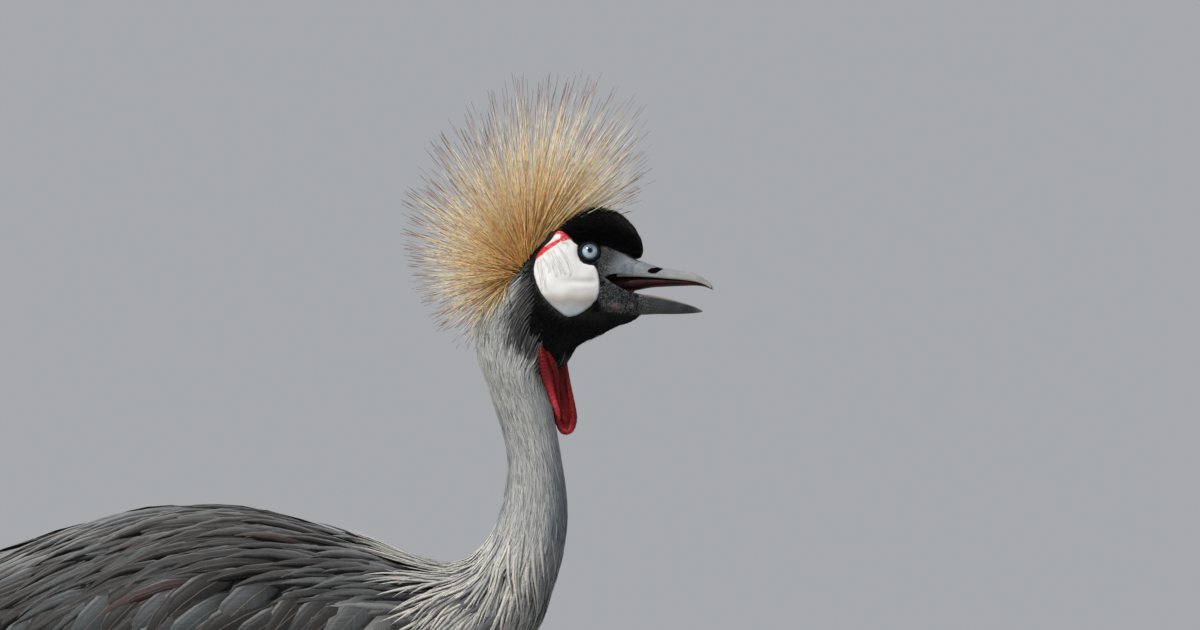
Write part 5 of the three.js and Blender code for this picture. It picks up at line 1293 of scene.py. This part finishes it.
# ---- Neck --------------------------------------------------------------------------------------------------
sparse = 1.0
HANDS = ((1, "right"), (-1, "left"))  # which way round the body each side lies
for hand, label in HANDS:
    coat = Coat()
    s, turn = rows_of(figure, 12.6, 25.2, 0, hand * math.pi, 2.5 * sparse, 1.35 * sparse)
    x, _, z = figure.plain(s, turn).T
    tip_x, _, tip_z = figure.plain(s - 12 / figure.rates(s, turn)[0], turn).T
    keep = (even(0, 1, s) < 1.04 - 1.1 * blackness(x, z, 7, 11)) & ~inside(CHEEK, x, z) & (z < 818)
    for fold in (THROAT_FOLD, INNER_FOLD):
        keep &= (edge_distance(fold, x, z, False) > 2.0) | (z < 737)
        keep &= (edge_distance(fold, tip_x, tip_z, False) > 2.4) | (tip_z < 737)
    s, turn, z = s[keep], turn[keep], z[keep]
    jitter = draw.normal(0, [3, 5], (len(s), 2))
    streak = np.sin(17 * turn + 1.3 * np.sin(0.9 * s)) + np.sin(29 * turn + 2 + 1.7 * np.sin(0.7 * s + 1))
    round_by = np.abs(turn) / math.pi
    # painted shade: front darkens the tone of the neck's front, most low down, for the side turned from the light
    front = step(0.5, 0.74, round_by) * (0.3 + 0.7 * step(716, 684, z))
    nape = (1 - step(0.06, 0.24, round_by)) * step(632, 650, z) * step(748, 730, z)
    tone = 0.76 + 0.06 * streak + bell(0, 0.09, s) - 0.45 * front - 0.5 * nape * (0.6 + 0.4 * np.sin(7 * s))
    feathers(coat, figure, s, turn, even(24, 36, s) * (1 + 0.3 * step(19, 14, s)), even(1.4, 2.1, s), SILK, FLAT_LOCK,
             sink=2.4, lift=even(-0.2, 0.2, s), yaw=bell(0, 0.07, s) + hand * 0.08, bend=bell(0, 0.08, s),
             thick=0.16, tone=np.clip(tone, 0, 1),
             mask=lambda p: blackness(p[..., 0] + jitter[:, :1], p[..., 2] + jitter[:, 1:], 12, -6))
    coat.piece(f"neck_silk_{label}", silk, slot="neck_plumage")

# The hackles lie over the shoulders, so their heights are taken from the folded wings' surface.
shoulder = loft_piece("shoulder", wings, np.linspace(2, 11, 60), 72, inward(-1.5), granular_skin)
shoulder_rays = tree_of(shoulder)
bpy.data.objects.remove(shoulder)
coat = Coat()
s, turn = rows_of(figure, 9.6, 14.2, 0, TURN, 5.6, 3.9)
keep = (s > 10.3) | (np.cos(turn) < 0.35)
s, turn = s[keep], turn[keep]
fall = np.sin(turn) * step(0.15, 0.6, np.abs(np.sin(turn)))
# painted shade: front darkens the tone of the hackles on the neck's front, for the side turned from the light; it also
# lays them lower
front = step(1.5, 2.2, np.abs(((turn + math.pi) % TURN) - math.pi))
feathers(coat, figure, s, turn, even(62, 90, s), even(2.8, 4.2, s), LANCE, LEAF, sink=4.8,
         lift=even(-1.4, 1.4, s) - 0.8 * front, yaw=bell(0, 0.1, s) + 0.12 * fall, bend=bell(0, 0.13, s) + 0.5 * fall,
         camber=0.14, thick=0.35, tone=np.clip(bell(0.76, 0.2, s) - 0.6 * front, 0, 1), over=shoulder_rays)
coat.piece("neck_hackles", hackle_vane, slot="neck_plumage")

# ---- Back and wings ----------------------------------------------------------------------------------------
STIFF_VANE = [(0, 0.35), (0.1, 0.62), (0.3, 0.85), (0.55, 0.96), (0.8, 1), (0.92, 0.8), (0.98, 0.45), (1, 0.1)]


def fan(coat, root, lengths, pitch, turns, drops, asides, wide, tones):
    """Stiff vanes piled on one root, each turned a little from the next: a closed tail, or the end of a folded wing."""
    sides, (t, share), (across_vane, bulge) = len(BROAD_LEAF), zip(*STIFF_VANE), zip(*BROAD_LEAF)
    t = np.repeat(t, sides).reshape(-1, sides)
    half = wide * np.array(share)[:, None] * across_vane
    rise = (0.45 * np.array(bulge) - 0.004 * half**2 + 0.4)[..., None]
    quads = ring_quads(len(STIFF_VANE), sides)
    for place, (length, turn, drop, aside, tone) in enumerate(zip(lengths, turns, drops, asides, tones)):
        ahead = unit(np.array([-math.cos(turn), math.sin(turn), math.tan(pitch)]))
        across = unit(np.array([0, 1, 0]) - ahead * ahead[1])
        up = np.cross(ahead, across)
        up *= math.copysign(1, up[2])
        start = np.array(root) - up * drop + [0, aside, 0]
        points = settled(start + ahead * (t * length)[..., None] + across * half[..., None] + up * rise)
        lock = np.stack([np.full(t.shape, tone), 0.3 + 0.7 * t, (1 + half / wide) / 2, t * 0], -1)
        uv = np.array([0.04 + 0.09 * place, 0.02]) + np.stack([half / wide * 0.03, t * 0.3], -1)
        coat.take(points.reshape(1, -1, 3), quads, lock, uv, np.stack([half, t * length], -1) * MM)


def rooted(groups, *rows):
    """Roots on the folded wings that lie in these groups of feathers, and how far ahead and up they are."""
    s, turn = rows_of(wings, *rows)
    x, _, z = wings.plain(s, turn).T
    keep = np.any([inside(WING_GROUPS[group], x, z) for group in groups], axis=0)
    return s[keep], turn[keep], x[keep], z[keep]


# The groups of flight feathers: finish, slot, width, gap between them, longest, and how far they lift.
FLIGHT = {"secondaries": (chestnut_vane, "chestnut_flight", 27, 17, 132, -1.0),
          "primaries": (black_vane, "black_flight", 20, 13, 118, -1.5)}
INNER_PILE, PILE_ROOT, PILE_PITCH = np.arange(4), (-290, 0, 487.5), math.radians(-9.7)
for hand, label in HANDS:
    # Shoulder and back: long narrow feathers above, broad ones with pale shafts lower down.
    coat = Coat()
    s, turn, x, z = rooted(["scapulars"], 9.6, 2.9, hand * 0.95, hand * 2.0, 14, 15)
    pale = 0.7 * np.clip(step(120, 200, x + bell(0, 14, s)), 0, 1)
    feathers(coat, wings, s, turn, even(58, 78, s), even(19, 27, s), FALCATE, BROAD_LEAF, sink=6,
             lift=even(-1.6, 0.8, s), yaw=hand * bell(0.6, 0.13, s), bend=hand * bell(0.18, 0.1, s),
             camber=0.1, thick=0.35, tone=np.clip(bell(0.4, 0.26, s), 0, 0.94), mask=pale,
             twist=-hand * even(0.04, 0.2, s))
    s, turn = rows_of(wings, 10.98, 3.2, 0, hand * 1.25, 14, 8.2)
    x, _, z = wings.plain(s, turn).T
    keep = (z > 600 - 0.16 * np.abs(x - 90) + bell(0, 6, s)) | (x > 100)
    s, turn, x = s[keep], turn[keep], x[keep]
    pale = np.clip(step(105, 185, x + bell(0, 16, s)), 0, 1) * even(0.4, 1, s)
    near = step(60, 150, x)
    tone = np.where(even(0, 1, s) < 0.01, 1.0, np.clip(bell(0.44, 0.24, s), 0, 0.94))  # one in a hundred is reddish
    feathers(coat, wings, s, turn, even(78, 112, s) * (1 - 0.3 * near), even(8.5, 13.5, s) * (1 - 0.4 * near), LANCE,
             LEAF, sink=6, lift=even(-3.0, 1.2, s), yaw=hand * bell(0.1, 0.08, s), bend=hand * bell(0.28, 0.13, s),
             camber=0.13, thick=0.45, tone=tone, mask=pale, twist=-hand * even(0.14, 0.54, s))
    coat.piece(f"mantle_{label}", slate_vane, (f"scapulars_{label}",), "mantle")

    coat = Coat()
    s, turn, x, z = rooted(["coverts"], 10.9, 3.2, hand * 1.1, hand * 2.75, 24, 14)
    keep = z < 540 - 0.12 * np.maximum(x - 60, 0)
    s, turn = s[keep], turn[keep]
    feathers(coat, wings, s, turn, even(54, 66, s), even(20, 25, s), SPOON, BROAD_LEAF, sink=7,
             lift=even(-3.6, -1.8, s), yaw=hand * bell(0.12, 0.05, s), thick=0.4, tone=even(0, 1, s))
    coat.piece(f"coverts_vanes_{label}", white_vane, (f"coverts_{label}",), "white_coverts")

    coat = Coat()
    s, turn, x, z = rooted(["plumes"], 5.6, 2.6, hand * 0.35, hand * 2.3, 9, 6.5)
    feathers(coat, wings, s, turn, np.minimum(even(105, 150, s), x + 372), even(2, 3.4, s), LANCE, FLAT_LOCK, sink=4,
             lift=even(-0.5, 1.8, s), yaw=hand * bell(0.34, 0.14, s), bend=hand * bell(0.15, 0.2, s), camber=0.2,
             thick=0.3, tone=even(0, 1, s))
    coat.piece(f"straw_plumes_{label}", straw_vane, (f"plumes_{label}",), "straw_plumes")

    for group, (material, slot, width, gap, longest, lift) in FLIGHT.items():
        coat = Coat()
        groups = [group, "plumes"] if group == "secondaries" else [group]
        s, turn, x, z = rooted(groups, 5.4, 0.7, hand * 0.1, hand * 2.95, 20, gap, 0.12)
        reach = np.minimum(longest * even(0.9, 1, s), x + 384)
        keep = reach > 30
        s, turn, reach = s[keep], turn[keep], reach[keep]
        feathers(coat, wings, s, turn, reach, width * np.clip(reach / 90, 0.6, 1), STRAP, BROAD_LEAF, sink=7,
                 lift=lift + even(-1.2, 0, s), yaw=hand * 0.08, camber=0.08, thick=0.4, tone=even(0, 1, s))
        if group == "secondaries":
            # the innermost vanes, piled one on another: their tips close the wing's end
            fan(coat, PILE_ROOT, 96 - 1.3 * INNER_PILE, PILE_PITCH, hand * 0.015 * (INNER_PILE - 1.5),
                3.6 * INNER_PILE + (1.8 if hand < 0 else 0) - 6.3, np.full(4, hand * 0.8), 11.5, (0.7, 0.4, 0.9, 0.2))
        coat.piece(f"{group}_vanes_{label}", material, (f"{group}_{label}",), slot)

# ---- Breast, belly, thighs and tail ------------------------------------------------------------------------
coat = Coat()
s, turn = rows_of(figure, 0.25, 10.6, 1.05, TURN - 1.05, 11.5 * sparse, 8.6 * sparse)
feathers(coat, figure, s, turn, even(36, 46, s), even(12, 15, s), SPOON, LEAF, sink=6, lift=even(-2, 0.6, s),
         yaw=bell(0, 0.08, s), camber=0.14, thick=0.4,
         tone=np.clip(bell(0.55, 0.2, s) - 0.45 * step(7.6, 9.4, s), 0, 1))
s, turn = rows_of(figure, 0.25, 2.4, -1.05, 1.05, 11, 8.6)
feathers(coat, figure, s, turn, even(30, 38, s), even(12, 15, s), SPOON, LEAF, sink=6, lift=even(-2, 0.4, s),
         yaw=bell(0, 0.08, s), camber=0.14, thick=0.4, tone=np.clip(bell(0.5, 0.2, s), 0, 1))
coat.piece("breast_and_belly", body_vane, slot="body_plumage")
for side, label in SIDES:
    coat = Coat()
    s, turn = rows_of(legs[side], 0.5, 3.0, 0, TURN, 8.5, 7.2)
    feathers(coat, legs[side], s, turn, even(22, 30, s) * (1 - 0.3 * step(2, 3, s)), even(8, 11, s), SPOON, LEAF,
             sink=3, lift=even(-0.8, 0.8, s), yaw=bell(0, 0.09, s), camber=0.14, thick=0.35,
             tone=np.clip(bell(0.5, 0.2, s), 0, 1))
    coat.piece(f"thigh_feathers_{label}", body_vane, slot="body_plumage")

TAIL_ROOT, TAIL_LENGTH, TAIL_WIDTH = (-204, 0, 513), 182, 12.0
TAIL_PITCH, TAIL_FAN, TAIL_PAIRS = math.radians(-21), math.radians(9), 5
coat = Coat()
index = np.arange(-TAIL_PAIRS, TAIL_PAIRS + 1)
fan(coat, TAIL_ROOT, TAIL_LENGTH * (1 - 0.012 * index**2), TAIL_PITCH, index / TAIL_PAIRS * TAIL_FAN,
    2 * np.abs(index) - (index > 0), index * 1.8, TAIL_WIDTH, (index + TAIL_PAIRS) / len(index))
coat.piece("tail_vanes", black_vane, ("tail",), "black_flight")


# ---- Legs and feet -----------------------------------------------------------------------------------------
HUB, HUB_RINGS, HUB_SIDES, ANKLE_LIFT = (11, 8.5, 16), 24, 32, 12.5
TOE_PLATE, TOE_RINGS, CLAW_RINGS, CLAW_SIDES = 4.2, 110, 30, 20
UPRIGHT = np.array([0, 0, 1])


def toe_shape(root, ahead, across, reach, width):
    """A toe flat on the floor: swollen joints, a pad below and scutes that overlap along its ridge."""
    t = np.linspace(0, 1.03, TOE_RINGS)[:, None]
    joints = 1 + 0.1 * np.sin(t * math.pi * 3)
    half = width / 2 * (1 - 0.38 * t) * joints * np.sqrt(np.clip((1.045 - t) / 0.06, 0, 1))
    tall = TOE_HEIGHT * (1.15 - 0.49 * t) * joints * np.clip((1.045 - t) / 0.05, 0.25, 1) ** 0.5
    ring = np.linspace(0, math.pi, 22)
    aside, rise = np.cos(ring), np.sin(ring) ** 0.8
    ridge = 1 + 0.075 * smooth((t * reach / TOE_PLATE) % 1) * np.clip(rise - 0.55, 0, 1) / 0.45
    y = half * np.concatenate([aside, [-0.7, 0, 0.7]])
    z = np.concatenate([0.25 + rise * (tall - 0.25) * ridge, np.zeros((TOE_RINGS, 3))], 1)
    points = root + ahead * (t * reach)[..., None] + across * y[..., None] + UPRIGHT * z[..., None]
    return points.reshape(-1, 3), tube_faces(TOE_RINGS, points.shape[1])


def claw_shape(root, ahead, across, reach, width):
    """A blunt claw that runs on from the toe and comes down to the floor, and how far along it each ring is."""
    q = np.linspace(0, 1, CLAW_RINGS)
    course = root + ahead * (reach - 1.5 + (CLAW_LENGTH + 1.5) * q)[:, None]
    course[:, 2] = 3.2 + 0.9 * np.sin(q * math.pi * 0.6) - 3.1 * q**2.2
    radius = np.maximum(width * 0.27 * (1 - q**1.5), 0.3)[:, None]
    turns = np.arange(CLAW_SIDES) / CLAW_SIDES * TURN
    points = course[:, None] + across * (radius * 0.85 * np.cos(turns))[..., None] \
        + UPRIGHT * (radius * 1.15 * np.sin(turns))[..., None]
    points = points.reshape(-1, 3)
    points[:, 2] = np.maximum(points[:, 2], 0.05)
    return points, q


def foot_parts(side):
    """Hub, toes and claws of one foot, flat on the floor, in millimetres."""
    root = np.array([LEG[-1][0] - side * STRIDE, side * LEG_Y, 0.0])
    foot, claws = Joined(), []
    a, b = np.meshgrid(np.linspace(0.02, math.pi - 0.02, HUB_RINGS), np.arange(HUB_SIDES) / HUB_SIDES * TURN,
                       indexing="ij")
    swell = 1 + 0.03 * np.sin(a * 26) * (np.cos(b) > 0)
    hub = np.stack([np.sin(a) * np.cos(b) * swell, np.sin(a) * np.sin(b) * swell, np.cos(a)], -1) * HUB
    hub = (hub + root + [1, 0, ANKLE_LIFT]).reshape(-1, 3)
    hub[:, 2] = np.maximum(hub[:, 2], 0.0)
    foot.take(hub, outwards(hub, tube_faces(HUB_RINGS, HUB_SIDES)))
    for name, turned, reach, width in TOES:
        turned = math.radians(turned * -side)
        ahead = np.array([math.cos(turned), math.sin(turned), 0])
        across = np.array([-ahead[1], ahead[0], 0])
        points, faces = toe_shape(root, ahead, across, reach, width)
        foot.take(points, outwards(points, faces))
        claws.append((name, *claw_shape(root, ahead, across, reach, width)))
    return foot, claws


# The shin's stations: few on the shank, more round the hock, and enough on the tarsus for its scutes.
SHIN = np.concatenate([np.linspace(2.7, 5, 60), np.linspace(5.02, 7, 90), np.linspace(7.02, 10, 260)])
SHIN_SIDES, SCUTE = 40, 9.0
for side, label in SIDES:
    leg = legs[side]
    grid_s, grid_turn = np.meshgrid(SHIN, np.arange(SHIN_SIDES) / SHIN_SIDES * TURN, indexing="ij")
    down = leg.plain(grid_s, 0.0)[..., 2]
    plates = ((down + 400) / SCUTE) % 1
    fore = np.clip(np.cos(grid_turn) * 1.6 - 0.2, 0, 1)
    height = 0.6 * (1 - plates) ** 0.6 * fore * step(232, 218, down) * step(30, 40, down)
    creases = 0.3 * np.sin(down * 1.9) * np.exp(-(((down - 222) / 16) ** 2))
    points = leg.point(grid_s, grid_turn, height + creases).reshape(-1, 3)
    shin = piece_of(f"leg_{label}", points, outwards(points, tube_faces(len(SHIN), SHIN_SIDES)), leg_skin,
                    (f"shank_{label}", f"hock_{label}", f"tarsus_{label}"), "leg_skin")
    mapped(shin, "OFBake", unwrapped(leg, grid_s, grid_turn).reshape(-1, 2))
    foot, claws = foot_parts(side)
    piece_of(f"foot_skin_{label}", settled(np.concatenate(foot.points)), foot.faces, leg_skin, (f"foot_{label}",),
             "leg_skin")
    for name, points, q in claws:
        points = settled(points)
        claw = piece_of(f"claw_horn_{name}_{label}", points, outwards(points, tube_faces(CLAW_RINGS, CLAW_SIDES)),
                        claw_horn, (f"claw_{name}_{label}",), "claw")
        pale = np.repeat(step(0.6, 1, q), CLAW_SIDES)
        worn(claw, pale, pale * 0)

# ---- Floor, light and camera -------------------------------------------------------------------------------
FLOOR_CORNERS = 9 * np.array([(-1, -1, 0), (1, -1, 0), (1, 1, 0), (-1, 1, 0)], float)
floor = piece_of("floor", FLOOR_CORNERS, np.array([[0, 1, 2, 3]]), floor_finish())


def softbox(name, place, size, power, colour):
    """A square soft light that faces the bird's head."""
    lamp = bpy.data.lights.new(name, "AREA")
    lamp.size, lamp.energy, lamp.color = size, power, linear(colour)[:3]
    light = bpy.data.objects.new(name, lamp)
    light.location = place
    light.rotation_euler = (Vector((0.25, 0, 0.78)) - Vector(place)).to_track_quat("-Z", "Y").to_euler()
    bpy.context.scene.collection.objects.link(light)


softbox("key", (-1.5, -1.9, 3.8), 0.7, 168, "#fffaf3")
softbox("fill", (2.6, -3.4, 1.5), 2.4, 9, "#e6efff")
softbox("rim", (-1.2, 2.4, 2.4), 1.2, 34, "#ffffff")
world = bpy.data.worlds.new("pale_room")
world.use_nodes = True
sky = world.node_tree.nodes["Background"].inputs
sky["Color"].default_value, sky["Strength"].default_value = linear("#dfe2e6"), 0.52
bpy.context.scene.world = world
camera = bpy.data.objects.new("camera", bpy.data.cameras.new("camera"))
camera.data.sensor_width, camera.data.lens = 36, 235.9
camera.location = (0.3008, -6, 0.7851)
camera.rotation_euler = (math.radians(90), 0, 0)
bpy.context.scene.collection.objects.link(camera)
bpy.context.scene.camera = camera
bpy.context.scene.view_settings.view_transform = "Standard"
